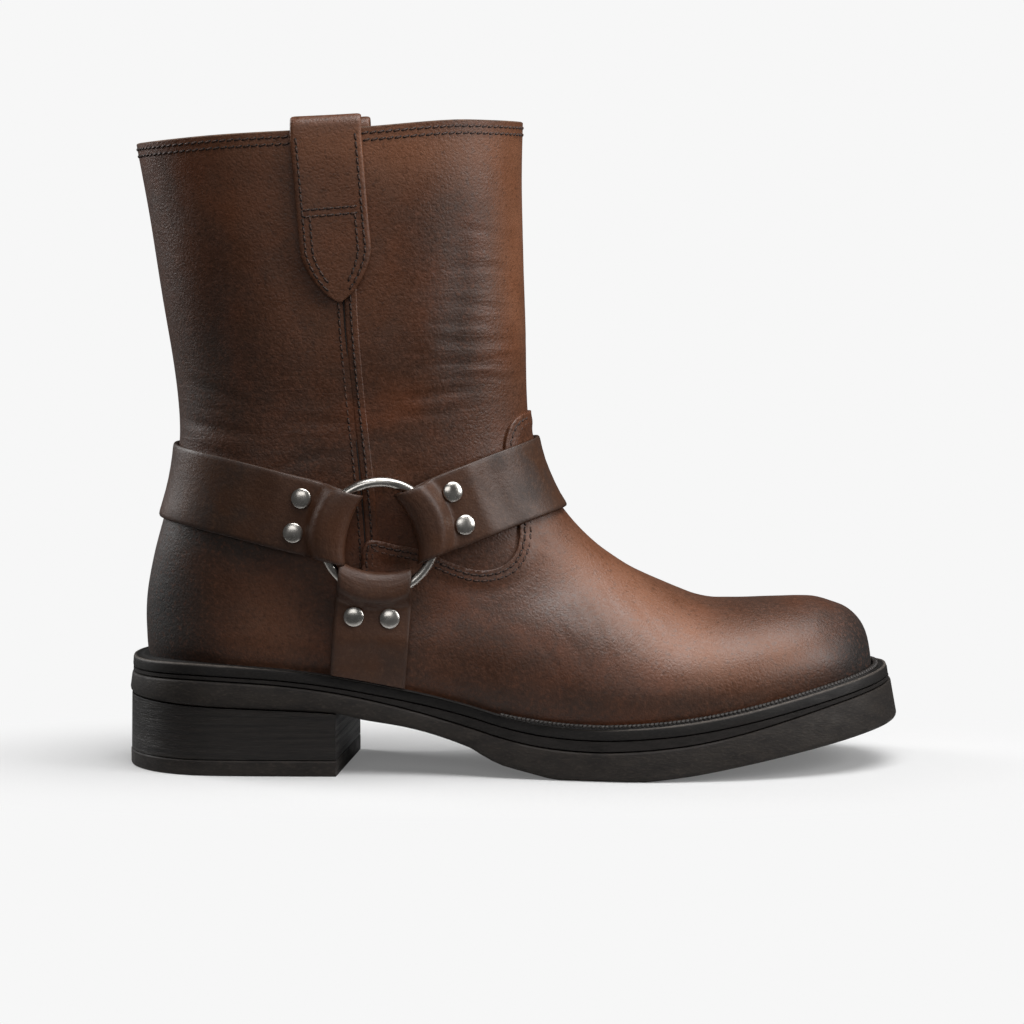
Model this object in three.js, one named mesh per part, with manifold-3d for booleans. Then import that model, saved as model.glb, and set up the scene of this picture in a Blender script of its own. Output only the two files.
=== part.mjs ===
// A pull-on harness boot for the right foot, in millimetres: +X to the toe, +Y to the inner side, +Z up.
// The origin is on the floor, under the middle of the boot's length and width.
// The upper is one hollow wall lofted through fanned sections of the last, and the sole is a stack of layers
// that share one plan outline. Straps and pull loops are bent from flat strips over the upper's own surface.
import * as THREE from 'three';
import { mergeVertices } from 'three/addons/utils/BufferGeometryUtils.js';
import Module from 'manifold-3d';

const wasm = await Module();
wasm.setup();

// Sole
const soleLength = 309.5;
const soleWidth = 109;
const heelSeatHeight = 44;
const ballSeatHeight = 20.5;
const toeSeatHeight = 41;
const heelBreastHeight = 25;
const heelLength = 88;
const heelBreastSkew = 7;
const topPieceThickness = 6.2;
const weltThickness = 4.5;
const weltRibHeight = 1.4;
const weltRibWidth = 1.5;
const weltRibGap = 0.9;
const midsoleThickness = 4;
const soleEdgeRadius = 2.2;
const toeTreadRise = 18;
const treadStep = 1;
const toeFlare = 4.2;
const heelFlare = 1.3;
const insoleThickness = 3;

// Upper
const collarHeight = 257;
const throatHeight = 142;
const toeBoxHeight = 64.1;
const collarWidth = 93;
const ankleWidth = 80;
const upperThickness = 2.4;
const vampThickness = 1.4;
const heelMargin = 3.2;
const waistMargin = 2.6;
const ballMargin = 4.4;
const toeMargin = 6.6;
const upperBulge = 2;
const instepLean = 4;
const featherHeight = 14;
const shaftBlendBelow = 8;
const shaftBlendAbove = 14;

// Harness
const strapWidth = 30;
const strapThickness = 2;
const ringDiameter = 48;
const ringWire = 4;
const ringX = 101.6;
const ringHeight = 95.8;
const heelStrapTilt = 14.6;
const heelStrapSag = 3.8;
const instepStrapTilt = 20.8;
const instepStrapSag = 6;
const instepStrapDrop = 1.4;
const downStrapTilt = 4.5;
const strapTongue = 39.5;
const strapGap = 0.6;
const foldGap = 0.6;
const rivetGap = 0.4;
const rivetReach = 32.4;
const rivetSpacing = 14;
const rivetDiameter = 8;
const rivetDome = 2;
const rivetStem = 3;

// Pull loops
const pullWidth = 27.4;
const pullThickness = 2.6;
const pullX = 82;
const pullTilt = 4.6;
const pullDrop = 66.2;
const pullTipLength = 20;
const pullRise = 4.4;
const pullInside = 46;
const pullGap = 0.6;

// Fits
const clearance = 0.3;

// How finely the curved faces are cut
const outerSections = 38;
const outerSideSteps = 16;
const innerSections = 28;
const innerSideSteps = 14;
const outlineSteps = 24;
const strapAcross = 3;

// A smooth curve through table rows, read at a share of the length. Catmull-Rom slopes, flat past the ends.
function readCurve(rows, at, column) {
  const last = rows.length - 1;
  if (at <= rows[0].at) return rows[0][column];
  if (at >= rows[last].at) return rows[last][column];
  let i = 0;
  while (rows[i + 1].at < at) i++;
  const slope = (k) => {
    const a = rows[Math.max(k - 1, 0)];
    const b = rows[Math.min(k + 1, last)];
    return (b[column] - a[column]) / (b.at - a.at);
  };
  const span = rows[i + 1].at - rows[i].at;
  const t = (at - rows[i].at) / span;
  const rise = rows[i + 1][column] - rows[i][column];
  const m0 = slope(i) * span;
  const m1 = slope(i + 1) * span;
  return rows[i][column] + t * (m0 + t * (3 * rise - 2 * m0 - m1 + t * (m0 + m1 - 2 * rise)));
}

const mix = (a, b, t) => a + (b - a) * t;
const clamp = (v, low, high) => Math.min(high, Math.max(low, v));
const smooth = (low, high, v) => {
  const t = clamp((v - low) / (high - low), 0, 1);
  return t * t * (3 - 2 * t);
};
// Even steps of a half turn, so that points crowd towards both ends.
const crowd = (t) => (1 - Math.cos(Math.PI * t)) / 2;
// How wide a rounded end is at a distance from its tip.
const roundEnd = (distance, reach, power) => {
  const left = 1 - clamp(distance / reach, 0, 1);
  return Math.max(1 - left ** power, 0) ** (1 / power);
};

// Plan outline of the sole's widest edge: shares of the length, and of half the width.
const planRows = [
  { at: 0.0, centre: 0.04, half: 0.68 },
  { at: 0.13, centre: -0.03, half: 0.68 },
  { at: 0.27, centre: -0.09, half: 0.645 },
  { at: 0.4, centre: -0.13, half: 0.6 },
  { at: 0.52, centre: -0.12, half: 0.74 },
  { at: 0.63, centre: -0.06, half: 0.93 },
  { at: 0.7, centre: -0.01, half: 0.99 },
  { at: 0.77, centre: 0.03, half: 0.98 },
  { at: 0.88, centre: 0.075, half: 0.93 },
  { at: 1.0, centre: 0.1, half: 0.88 },
];
const heelRoundShare = 0.12;
const heelRoundPower = 2.2;
const toeRoundShare = 0.25;
const toeRoundPower = 2.3;

const shareOf = (x) => x / soleLength + 0.5;
const xAt = (share) => (share - 0.5) * soleLength;

// The outline's middle line is moved so that its two widest points lie at equal distances from the origin.
function widestMiddle() {
  let low = 0;
  let high = 0;
  for (let i = 0; i <= 100; i++) {
    const centre = readCurve(planRows, i / 100, 'centre');
    const half = readCurve(planRows, i / 100, 'half') * roundEnd(1 - i / 100, toeRoundShare, toeRoundPower);
    low = Math.min(low, centre - half);
    high = Math.max(high, centre + half);
  }
  return (low + high) / 2;
}
const planMiddle = widestMiddle();
const planCentre = (x) => (readCurve(planRows, shareOf(x), 'centre') - planMiddle) * soleWidth / 2;
const planHalf = (x) => readCurve(planRows, shareOf(x), 'half') * soleWidth / 2;

// Heights of the welt's top edge: a share of the way from the ball up to the heel seat, or up to the toe.
const ballAt = 0.615;
const heelSeatRows = [
  { at: 0.0, up: 1.0 },
  { at: 0.08, up: 1.02 },
  { at: 0.135, up: 0.99 },
  { at: 0.205, up: 0.93 },
  { at: 0.272, up: 0.82 },
  { at: 0.355, up: 0.61 },
  { at: 0.4, up: 0.48 },
  { at: 0.446, up: 0.33 },
  { at: 0.48, up: 0.2 },
  { at: 0.525, up: 0.075 },
  { at: 0.57, up: 0.015 },
  { at: 0.615, up: 0.0 },
];
const toeSeatRows = [
  { at: 0.615, up: 0.0 },
  { at: 0.673, up: 0.05 },
  { at: 0.731, up: 0.14 },
  { at: 0.79, up: 0.29 },
  { at: 0.849, up: 0.48 },
  { at: 0.91, up: 0.69 },
  { at: 0.957, up: 0.85 },
  { at: 1.0, up: 1.0 },
];
function seat(x) {
  const at = shareOf(x);
  if (at < ballAt) return mix(ballSeatHeight, heelSeatHeight, readCurve(heelSeatRows, at, 'up'));
  return mix(ballSeatHeight, toeSeatHeight, readCurve(toeSeatRows, at, 'up'));
}

// Heights of the outsole's bottom: flat under the ball, up to the heel's breast and up to the toe.
const treadFlatFrom = 0.55;
const treadFlatTo = 0.67;
const waistRows = [
  { at: 0.0, up: 1.16 },
  { at: 0.13, up: 1.08 },
  { at: 0.27, up: 1.0 },
  { at: 0.305, up: 0.9 },
  { at: 0.378, up: 0.71 },
  { at: 0.451, up: 0.4 },
  { at: 0.48, up: 0.22 },
  { at: 0.51, up: 0.12 },
  { at: 0.55, up: 0.0 },
];
const springRows = [
  { at: 0.67, up: 0.0 },
  { at: 0.73, up: 0.13 },
  { at: 0.79, up: 0.31 },
  { at: 0.849, up: 0.5 },
  { at: 0.91, up: 0.7 },
  { at: 0.957, up: 0.86 },
  { at: 1.0, up: 1.0 },
];
function tread(x) {
  const at = shareOf(x);
  if (at < treadFlatFrom) return heelBreastHeight * readCurve(waistRows, at, 'up');
  if (at < treadFlatTo) return 0;
  return toeTreadRise * readCurve(springRows, at, 'up');
}

// How far the welt's edge stands in from the outsole's edge, and the upper from the welt's edge.
const flareRows = [
  { at: 0.0, toe: 0.0 },
  { at: 0.35, toe: 0.1 },
  { at: 0.7, toe: 0.35 },
  { at: 1.0, toe: 1.0 },
];
const marginRows = [
  { at: 0.0, width: toeMargin },
  { at: 0.14, width: heelMargin },
  { at: 0.4, width: waistMargin },
  { at: 0.65, width: ballMargin },
  { at: 1.0, width: toeMargin },
];
const flare = (x) => mix(heelFlare, toeFlare, readCurve(flareRows, shareOf(x), 'toe'));
const margin = (x) => readCurve(marginRows, shareOf(x), 'width');
// The dark middle layer is at its full thickness under the ball and thins to both ends.
const midsoleRows = [
  { at: 0.0, full: 0.4 },
  { at: 0.3, full: 0.5 },
  { at: 0.45, full: 1.0 },
  { at: 0.72, full: 1.0 },
  { at: 0.9, full: 0.5 },
  { at: 1.0, full: 0.4 },
];
const midsole = (x) => midsoleThickness * readCurve(midsoleRows, shareOf(x), 'full');

// Solids

// Joins closed rings of points into one skin. Each ring runs up one side and back down the other, so that the
// first and last rings are closed by strips across; a skin that meets itself has no end strips.
function skin(rings, meetsItself = false) {
  const count = rings[0].length;
  const positions = rings.flat(2);
  const index = [];
  const quad = (a, b, c, d) => index.push(a, b, c, a, c, d);
  const walls = meetsItself ? rings.length : rings.length - 1;
  for (let r = 0; r < walls; r++) {
    const s = (r + 1) % rings.length;
    for (let i = 0; i < count; i++) {
      const j = (i + 1) % count;
      quad(r * count + i, r * count + j, s * count + j, s * count + i);
    }
  }
  if (!meetsItself) {
    const top = (rings.length - 1) * count;
    for (let i = 0; i < count / 2 - 1; i++) {
      quad(count - 1 - i, count - 2 - i, i + 1, i);
      quad(top + i, top + i + 1, top + count - 2 - i, top + count - 1 - i);
    }
  }
  const geometry = new THREE.BufferGeometry();
  geometry.setAttribute('position', new THREE.Float32BufferAttribute(positions, 3));
  geometry.setIndex(index);
  return geometry;
}

// A manifold solid of a closed geometry, turned the right way out.
function solid(geometry) {
  const bare = geometry.index ? geometry.toNonIndexed() : geometry.clone();
  bare.deleteAttribute('normal');
  bare.deleteAttribute('uv');
  const merged = mergeVertices(bare, 1e-3);
  const p = merged.attributes.position.array;
  const kept = [];
  let volume = 0;
  const ids = merged.index.array;
  for (let i = 0; i < ids.length; i += 3) {
    const [a, b, c] = [ids[i], ids[i + 1], ids[i + 2]];
    if (a === b || b === c || c === a) continue;
    kept.push(a, b, c);
    const cross = [
      p[3 * b + 1] * p[3 * c + 2] - p[3 * b + 2] * p[3 * c + 1],
      p[3 * b + 2] * p[3 * c] - p[3 * b] * p[3 * c + 2],
      p[3 * b] * p[3 * c + 1] - p[3 * b + 1] * p[3 * c],
    ];
    volume += p[3 * a] * cross[0] + p[3 * a + 1] * cross[1] + p[3 * a + 2] * cross[2];
  }
  if (volume < 0) kept.reverse();
  return new wasm.Manifold(new wasm.Mesh({ numProp: 3, vertProperties: p, triVerts: new Uint32Array(kept) }));
}

function geometryOf(manifold) {
  const made = manifold.getMesh();
  const geometry = new THREE.BufferGeometry();
  geometry.setAttribute('position', new THREE.Float32BufferAttribute(made.vertProperties, 3));
  geometry.setIndex(Array.from(made.triVerts));
  geometry.computeVertexNormals();
  return geometry;
}

// A prism that runs through the whole boot from side to side, from an outline drawn in the side view.
const throughY = soleWidth * 2;
function sidePrism(outline, fromY = -throughY, toY = throughY) {
  const shape = new THREE.Shape(outline.map(([x, z]) => new THREE.Vector2(x, z)));
  const geometry = new THREE.ExtrudeGeometry(shape, { depth: toY - fromY, bevelEnabled: false });
  geometry.rotateX(Math.PI / 2);
  geometry.translate(0, toY, 0);
  return solid(geometry);
}

// The last

// Fanned sections, from above the collar round the heel and over the toe. backX and frontX are shares of the
// length. backZ is a share of the way from the heel seat up to the collar, and sections with no backZ end under
// the seat. frontZ is a share of the way up to the collar above the throat, to the throat above the toe box, and
// of the toe box below it. backRound and frontRound are shares of the section's own length.
const sectionRows = [
  { backX: 0.0085, backZ: 1.03, frontX: 0.512, frontZ: 2.08, backRound: 0.45, frontRound: 0.45, backPower: 2.15, frontPower: 2.15 },
  { backX: 0.015, backZ: 0.957, frontX: 0.512, frontZ: 2.0, backRound: 0.45, frontRound: 0.45, backPower: 2.15, frontPower: 2.15 },
  { backX: 0.0317, backZ: 0.82, frontX: 0.5105, frontZ: 1.78, backRound: 0.44, frontRound: 0.46, backPower: 2.12, frontPower: 2.12 },
  { backX: 0.047, backZ: 0.68, frontX: 0.512, frontZ: 1.52, backRound: 0.42, frontRound: 0.48, backPower: 2.1, frontPower: 2.1 },
  { backX: 0.06, backZ: 0.56, frontX: 0.5153, frontZ: 1.28, backRound: 0.4, frontRound: 0.48, backPower: 2.1, frontPower: 2.1 },
  { backX: 0.067, backZ: 0.465, frontX: 0.5166, frontZ: 1.06, backRound: 0.37, frontRound: 0.5, backPower: 2.1, frontPower: 2.05 },
  { backX: 0.0673, backZ: 0.398, frontX: 0.5197, frontZ: 0.894, backRound: 0.34, frontRound: 0.52, backPower: 2.1, frontPower: 2.0 },
  { backX: 0.06, backZ: 0.328, frontX: 0.5269, frontZ: 0.757, backRound: 0.32, frontRound: 0.54, backPower: 2.1, frontPower: 2.0 },
  { backX: 0.046, backZ: 0.257, frontX: 0.5372, frontZ: 0.649, backRound: 0.3, frontRound: 0.55, backPower: 2.1, frontPower: 2.0 },
  { backX: 0.0325, backZ: 0.187, frontX: 0.5501, frontZ: 0.545, backRound: 0.28, frontRound: 0.56, backPower: 2.15, frontPower: 2.0 },
  { backX: 0.023, backZ: 0.115, frontX: 0.5673, frontZ: 0.447, backRound: 0.26, frontRound: 0.57, backPower: 2.2, frontPower: 2.0 },
  { backX: 0.022, backZ: 0.05, frontX: 0.5866, frontZ: 0.364, backRound: 0.24, frontRound: 0.57, backPower: 2.25, frontPower: 2.0 },
  { backX: 0.028, backZ: -0.008, frontX: 0.6072, frontZ: 0.291, backRound: 0.22, frontRound: 0.58, backPower: 2.3, frontPower: 2.0 },
  { backX: 0.055, frontX: 0.629, frontZ: 0.229, backRound: 0.2, frontRound: 0.58, backPower: 2.3, frontPower: 2.0 },
  { backX: 0.115, frontX: 0.6497, frontZ: 0.177, backRound: 0.17, frontRound: 0.59, backPower: 2.3, frontPower: 2.0 },
  { backX: 0.2, frontX: 0.6713, frontZ: 0.134, backRound: 0.14, frontRound: 0.6, backPower: 2.3, frontPower: 2.02 },
  { backX: 0.295, frontX: 0.6926, frontZ: 0.095, backRound: 0.11, frontRound: 0.61, backPower: 2.3, frontPower: 2.05 },
  { backX: 0.39, frontX: 0.714, frontZ: 0.057, backRound: 0.09, frontRound: 0.62, backPower: 2.3, frontPower: 2.08 },
  { backX: 0.48, frontX: 0.7358, frontZ: 0.022, backRound: 0.08, frontRound: 0.63, backPower: 2.3, frontPower: 2.12 },
  { backX: 0.56, frontX: 0.7592, frontZ: 0.001, backRound: 0.08, frontRound: 0.64, backPower: 2.3, frontPower: 2.16 },
  { backX: 0.63, frontX: 0.7824, frontZ: -0.0031, backRound: 0.08, frontRound: 0.65, backPower: 2.3, frontPower: 2.2 },
  { backX: 0.69, frontX: 0.805, frontZ: -0.0036, backRound: 0.08, frontRound: 0.66, backPower: 2.3, frontPower: 2.25 },
  { backX: 0.745, frontX: 0.8281, frontZ: 0.0, backRound: 0.08, frontRound: 0.67, backPower: 2.3, frontPower: 2.3 },
  { backX: 0.795, frontX: 0.8511, frontZ: 0.003, backRound: 0.08, frontRound: 0.68, backPower: 2.3, frontPower: 2.3 },
  { backX: 0.84, frontX: 0.8738, frontZ: 0.006, backRound: 0.08, frontRound: 0.69, backPower: 2.3, frontPower: 2.3 },
  { backX: 0.877, frontX: 0.8948, frontZ: 0.002, backRound: 0.08, frontRound: 0.7, backPower: 2.3, frontPower: 2.3 },
  { backX: 0.9055, frontX: 0.9153, frontZ: -0.026, backRound: 0.08, frontRound: 0.7, backPower: 2.3, frontPower: 2.3 },
  { backX: 0.928, frontX: 0.933, frontZ: -0.061, backRound: 0.08, frontRound: 0.7, backPower: 2.3, frontPower: 2.3 },
  { backX: 0.9452, frontX: 0.9472, frontZ: -0.122, backRound: 0.08, frontRound: 0.7, backPower: 2.3, frontPower: 2.3 },
  { backX: 0.955, frontX: 0.956, frontZ: -0.2, backRound: 0.08, frontRound: 0.7, backPower: 2.3, frontPower: 2.3 },
  { backX: 0.9602, frontX: 0.9608, frontZ: -0.306, backRound: 0.08, frontRound: 0.7, backPower: 2.3, frontPower: 2.3 },
  { backX: 0.9626, frontX: 0.9629, frontZ: -0.4025, backRound: 0.08, frontRound: 0.7, backPower: 2.3, frontPower: 2.3 },
].map((row, at, all) => ({ ...row, at: at / (all.length - 1) }));
const underSeat = 9;
const toeTipShare = 0.9632;

function frontHeight(share) {
  if (share > 1) return mix(throatHeight, collarHeight, share - 1);
  if (share > 0) return mix(toeBoxHeight, throatHeight, share);
  return toeBoxHeight * (1 + share);
}
const sideRows = sectionRows.map((row) => {
  const backX = xAt(row.backX);
  const backZ = row.backZ === undefined ? seat(backX) - underSeat : mix(heelSeatHeight, collarHeight, row.backZ);
  return { ...row, backX, backZ, frontX: xAt(row.frontX), frontZ: frontHeight(row.frontZ) };
});

// One section's line in the side view, with both ends moved outwards by grow.
function sectionLine(at, grow) {
  const read = (column, where = at) => readCurve(sideRows, clamp(where, 0, 1), column);
  const step = 0.002;
  const tip = smooth(0.78, 0.97, at);
  const outwards = (end, turn) => {
    const low = Math.max(at - step, 0);
    const high = Math.min(at + step, 1);
    const dx = read(end + 'X', high) - read(end + 'X', low);
    const dz = read(end + 'Z', high) - read(end + 'Z', low);
    const length = Math.hypot(dx, dz) || 1;
    const forward = end === 'back' ? tip : Math.max(-turn * dz / length, 0);
    const upward = end === 'back' ? 1 - tip : 1;
    const x = read(end + 'X') + (end === 'back' ? mix(-turn * dz / length, 1, forward) : -turn * dz / length) * grow;
    return [x, read(end + 'Z') + turn * dx / length * grow * upward];
  };
  const back = outwards('back', -1);
  const front = outwards('front', 1);
  return {
    back,
    front,
    backRound: read('backRound'),
    frontRound: read('frontRound'),
    backPower: read('backPower'),
    frontPower: read('frontPower'),
  };
}

const shaftWidthRows = [
  { at: -0.6, up: -0.2 },
  { at: 0.0, up: 0.0 },
  { at: 0.25, up: 0.38 },
  { at: 0.6, up: 0.76 },
  { at: 1.0, up: 1.0 },
];
const shaftCentre = -2;
// The middle line and half width of the upper at a place of the side view, before its ends are rounded.
function bodyAt(x, z, grow) {
  const shaftShare = smooth(toeBoxHeight - shaftBlendBelow, throatHeight - shaftBlendAbove, z);
  const up = readCurve(shaftWidthRows, (z - throatHeight) / (collarHeight - throatHeight), 'up');
  const shaftHalf = mix(ankleWidth, collarWidth, up) / 2;
  const above = clamp((z - seat(x)) / featherHeight, 0, 1);
  const tipX = xAt(toeTipShare);
  const toe = roundEnd(tipX + grow - x, soleLength * (toeRoundShare - (1 - toeTipShare)), toeRoundPower);
  const foot = (planHalf(x) - flare(x) - margin(x) + upperBulge * Math.sin(above * Math.PI / 2)) * toe;
  return {
    centre: mix(planCentre(x), shaftCentre, shaftShare),
    half: mix(foot, shaftHalf, shaftShare) + grow * Math.sqrt(toe),
    foot: 1 - shaftShare,
  };
}

// A point of the upper's surface: at runs over the sections, along from back or bottom (0) to front or top (1).
function upperPoint(line, along, side, grow) {
  const x = mix(line.back[0], line.front[0], along);
  const z = mix(line.back[1], line.front[1], along);
  const { centre, half, foot } = bodyAt(x, z, grow);
  const rounded = roundEnd(along, line.backRound, line.backPower) * roundEnd(1 - along, line.frontRound, line.frontPower);
  return [x, centre + instepLean * foot * along ** 3 + side * half * rounded, z];
}

// The closed form of the last, grown outwards from the upper's face.
function lastForm(grow, sections, sideSteps) {
  const rings = [];
  for (let s = 0; s <= sections; s++) {
    const line = sectionLine(s / sections, grow);
    const lateral = [];
    const medial = [];
    for (let i = 0; i <= sideSteps; i++) {
      const along = crowd(i / sideSteps);
      lateral.push(upperPoint(line, along, -1, grow));
      medial.unshift(upperPoint(line, along, 1, grow));
    }
    rings.push([...lateral, ...medial]);
  }
  return solid(skin(rings));
}

// How far out the upper's face is at a place of the side view, or null outside it.
const lineCaches = new Map();
function linesFor(grow) {
  if (!lineCaches.has(grow)) {
    const lines = [];
    for (let i = 0; i <= 240; i++) lines.push(sectionLine(i / 240, grow));
    lineCaches.set(grow, lines);
  }
  return lineCaches.get(grow);
}
function faceAt(x, z, side, grow = 0) {
  const lines = linesFor(grow);
  const offLine = ({ back, front }) => (front[0] - back[0]) * (z - back[1]) - (front[1] - back[1]) * (x - back[0]);
  let before = offLine(lines[0]);
  for (let i = 1; i < lines.length; i++) {
    const after = offLine(lines[i]);
    if (before < 0 && after >= 0) {
      const t = before / (before - after);
      const [a, b] = [lines[i - 1], lines[i]];
      const blend = (key) => mix(a[key], b[key], t);
      const back = [mix(a.back[0], b.back[0], t), mix(a.back[1], b.back[1], t)];
      const front = [mix(a.front[0], b.front[0], t), mix(a.front[1], b.front[1], t)];
      const line = {
        back,
        front,
        backRound: blend('backRound'),
        frontRound: blend('frontRound'),
        backPower: blend('backPower'),
        frontPower: blend('frontPower'),
      };
      const reach = (front[0] - back[0]) ** 2 + (front[1] - back[1]) ** 2;
      const along = ((x - back[0]) * (front[0] - back[0]) + (z - back[1]) * (front[1] - back[1])) / reach;
      if (along > 0 && along < 1) return upperPoint(line, along, side, grow)[1];
    }
    before = after;
  }
  return null;
}

// The surface that the harness and the welt's bead lie on: the vamp over the foot, and the bare shaft behind it.
const coverFrom = 0.215;
const coverTo = 0.285;
const coverAt = (x) => vampThickness * smooth(coverFrom, coverTo, shareOf(x));
function bedAt(x, z, side, gap = 0) {
  const share = coverAt(x) / vampThickness;
  const bare = share < 1 ? faceAt(x, z, side, gap) : 0;
  const covered = share > 0 ? faceAt(x, z, side, vampThickness + gap) : 0;
  return bare === null || covered === null ? null : mix(bare, covered, share);
}

// The collar's edge in the side view: it dips to the back and rises a little towards the front.
const rimRows = [
  { at: 0.0, up: 0.955 },
  { at: 0.13, up: 0.973 },
  { at: 0.31, up: 0.987 },
  { at: 0.42, up: 1.0 },
  { at: 0.48, up: 0.9995 },
  { at: 0.54, up: 0.9955 },
];
const rimHeight = (x) => mix(heelSeatHeight, collarHeight, readCurve(rimRows, shareOf(x), 'up'));

// Where the vamp laps over the shaft, as shares of the length and of the way from the ball seat to the throat.
const vampOutline = [
  [0.56, 1.005], [0.523, 1.0], [0.505, 0.985], [0.495, 0.952], [0.4895, 0.89], [0.496, 0.78],
  [0.507, 0.66], [0.506, 0.58], [0.496, 0.53], [0.478, 0.505], [0.452, 0.5], [0.42, 0.525],
  [0.39, 0.56], [0.35, 0.585], [0.312, 0.595], [0.308, 0.42], [0.3, 0.1], [0.296, -0.4],
  [1.1, -0.4], [1.1, 0.6], [0.7, 0.75], [0.6, 0.98],
];

function makeUpper() {
  const span = throatHeight - ballSeatHeight;
  const vampRegion = sidePrism(vampOutline.map(([at, up]) => [xAt(at), ballSeatHeight + up * span]));
  const bare = lastForm(0, outerSections, outerSideSteps);
  const covered = lastForm(vampThickness, outerSections, outerSideSteps);
  const outside = bare.add(covered.intersect(vampRegion));
  const inside = lastForm(-upperThickness, innerSections, innerSideSteps);
  const edgeSteps = 24;
  const outline = [];
  for (let i = 0; i <= edgeSteps; i++) {
    const x = xAt(mix(-0.05, 1.05, i / edgeSteps));
    outline.push([x, seat(clamp(x, xAt(0), xAt(1))) + clearance]);
  }
  for (let i = edgeSteps / 2; i >= 0; i--) {
    const x = xAt(mix(-0.05, 0.56, i / (edgeSteps / 2)));
    outline.push([x, rimHeight(x)]);
  }
  outline.splice(edgeSteps + 1, 0, [xAt(1.05), collarHeight]);
  return outside.subtract(inside).intersect(sidePrism(outline));
}

// Sole layers

// A ring round the sole: inset from the widest edge, at a height worked out from x.
function soleRing(inset, height) {
  const from = xAt(0) + inset(xAt(0));
  const to = xAt(1) - inset(xAt(1));
  const lateral = [];
  const medial = [];
  for (let i = 0; i <= outlineSteps; i++) {
    const x = mix(from, to, crowd(i / outlineSteps));
    const heel = roundEnd(x - from, soleLength * heelRoundShare - inset(from), heelRoundPower);
    const toe = roundEnd(to - x, soleLength * toeRoundShare - inset(to), toeRoundPower);
    const half = Math.max(planHalf(x) - inset(x), 0) * heel * toe;
    lateral.push([x, planCentre(x) - half, height(x)]);
    medial.unshift([x, planCentre(x) + half, height(x)]);
  }
  return [...lateral, ...medial];
}

// A ring that follows the upper's own face just above the seat, away from the bare shaft at the heel and from the
// vamp in front.
function upperFootRing(gap, height) {
  const level = (x) => seat(x) + clearance;
  const inside = (x) => bedAt(x, level(x), -1, gap) !== null;
  const findEnd = (outer, inner) => {
    let [out, within] = [outer, inner];
    for (let i = 0; i < 30; i++) {
      const middle = (out + within) / 2;
      if (inside(middle)) within = middle;
      else out = middle;
    }
    return within;
  };
  const from = findEnd(xAt(-0.05), xAt(0.2));
  const to = findEnd(xAt(1.05), xAt(0.8));
  const lateral = [];
  const medial = [];
  for (let i = 0; i <= outlineSteps; i++) {
    const x = mix(from, to, crowd(i / outlineSteps));
    const outer = bedAt(x, level(x), -1, gap);
    const inner = bedAt(x, level(x), 1, gap);
    const end = i === 0 || i === outlineSteps;
    lateral.push([x, end ? (outer + inner) / 2 : outer, height(x)]);
    medial.unshift([x, end ? (outer + inner) / 2 : inner, height(x)]);
  }
  return [...lateral, ...medial];
}

const weltBottom = (x) => seat(x) - weltThickness;
const midsoleTop = (x) => weltBottom(x) - clearance;
const midsoleBottom = (x) => midsoleTop(x) - midsole(x);
const outsoleTop = (x) => midsoleBottom(x) - clearance;
const weltInner = (x) => flare(x) + margin(x) + weltOverlap;
const weltOverlap = 8;
const edgeBevel = 0.8;
const midsoleRecess = 0.7;

// The welt's raised bead runs round the forefoot only.
const ribHeight = (x) => weltRibHeight * smooth(0.46, 0.54, shareOf(x));

function makeWelt() {
  const gap = weltRibGap;
  return solid(skin([
    soleRing((x) => flare(x) * 0.75 + edgeBevel / 2, weltBottom),
    soleRing((x) => flare(x) * 0.8, (x) => weltBottom(x) + edgeBevel),
    soleRing((x) => flare(x), (x) => seat(x) - edgeBevel),
    soleRing((x) => flare(x) + edgeBevel, seat),
    upperFootRing(gap + weltRibWidth, (x) => seat(x)),
    upperFootRing(gap + weltRibWidth * 0.7, (x) => seat(x) + ribHeight(x)),
    upperFootRing(gap, (x) => seat(x) + ribHeight(x)),
    upperFootRing(gap, (x) => seat(x)),
    soleRing(weltInner, seat),
    soleRing(weltInner, weltBottom),
  ], true));
}

function makeMidsole() {
  const recess = (x) => flare(x) * 0.7 + midsoleRecess;
  return solid(skin([
    soleRing((x) => recess(x), midsoleBottom),
    soleRing((x) => recess(x), midsoleTop),
  ]));
}

// The outsole's waist is cut one step higher than the tread of the forefoot.
const treadFrom = 0.451;
function makeOutsole() {
  const body = solid(skin([
    soleRing(() => soleEdgeRadius, tread),
    soleRing(() => soleEdgeRadius * 0.3, (x) => tread(x) + soleEdgeRadius * 0.3),
    soleRing(() => 0, (x) => tread(x) + soleEdgeRadius),
    soleRing((x) => flare(x) * 0.55, (x) => outsoleTop(x) - edgeBevel),
    soleRing((x) => flare(x) * 0.55 + edgeBevel, outsoleTop),
  ]));
  const waist = [[xAt(treadFrom), -1], [xAt(treadFrom), tread(xAt(treadFrom)) + treadStep]];
  const steps = 8;
  const from = xAt(heelLength / soleLength) - heelBreastSkew;
  for (let i = 1; i <= steps; i++) {
    const x = mix(xAt(treadFrom), from, i / steps);
    waist.push([x, tread(x) + treadStep * smooth(from, xAt(treadFrom), x)]);
  }
  waist.push([from, -1]);
  return body.subtract(sidePrism(waist));
}

// The heel ends at a breast that runs slightly askew across the boot.
function heelCut() {
  const x = xAt(heelLength / soleLength);
  const reach = soleLength;
  const slope = heelBreastSkew / (2 * planHalf(x));
  const across = (y) => x + slope * (y - planCentre(x));
  const shape = new THREE.Shape([
    new THREE.Vector2(across(-soleWidth), -soleWidth),
    new THREE.Vector2(x + reach, -soleWidth),
    new THREE.Vector2(x + reach, soleWidth),
    new THREE.Vector2(across(soleWidth), soleWidth),
  ]);
  const geometry = new THREE.ExtrudeGeometry(shape, { depth: soleLength, bevelEnabled: false });
  geometry.translate(0, 0, -1);
  return solid(geometry);
}

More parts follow.
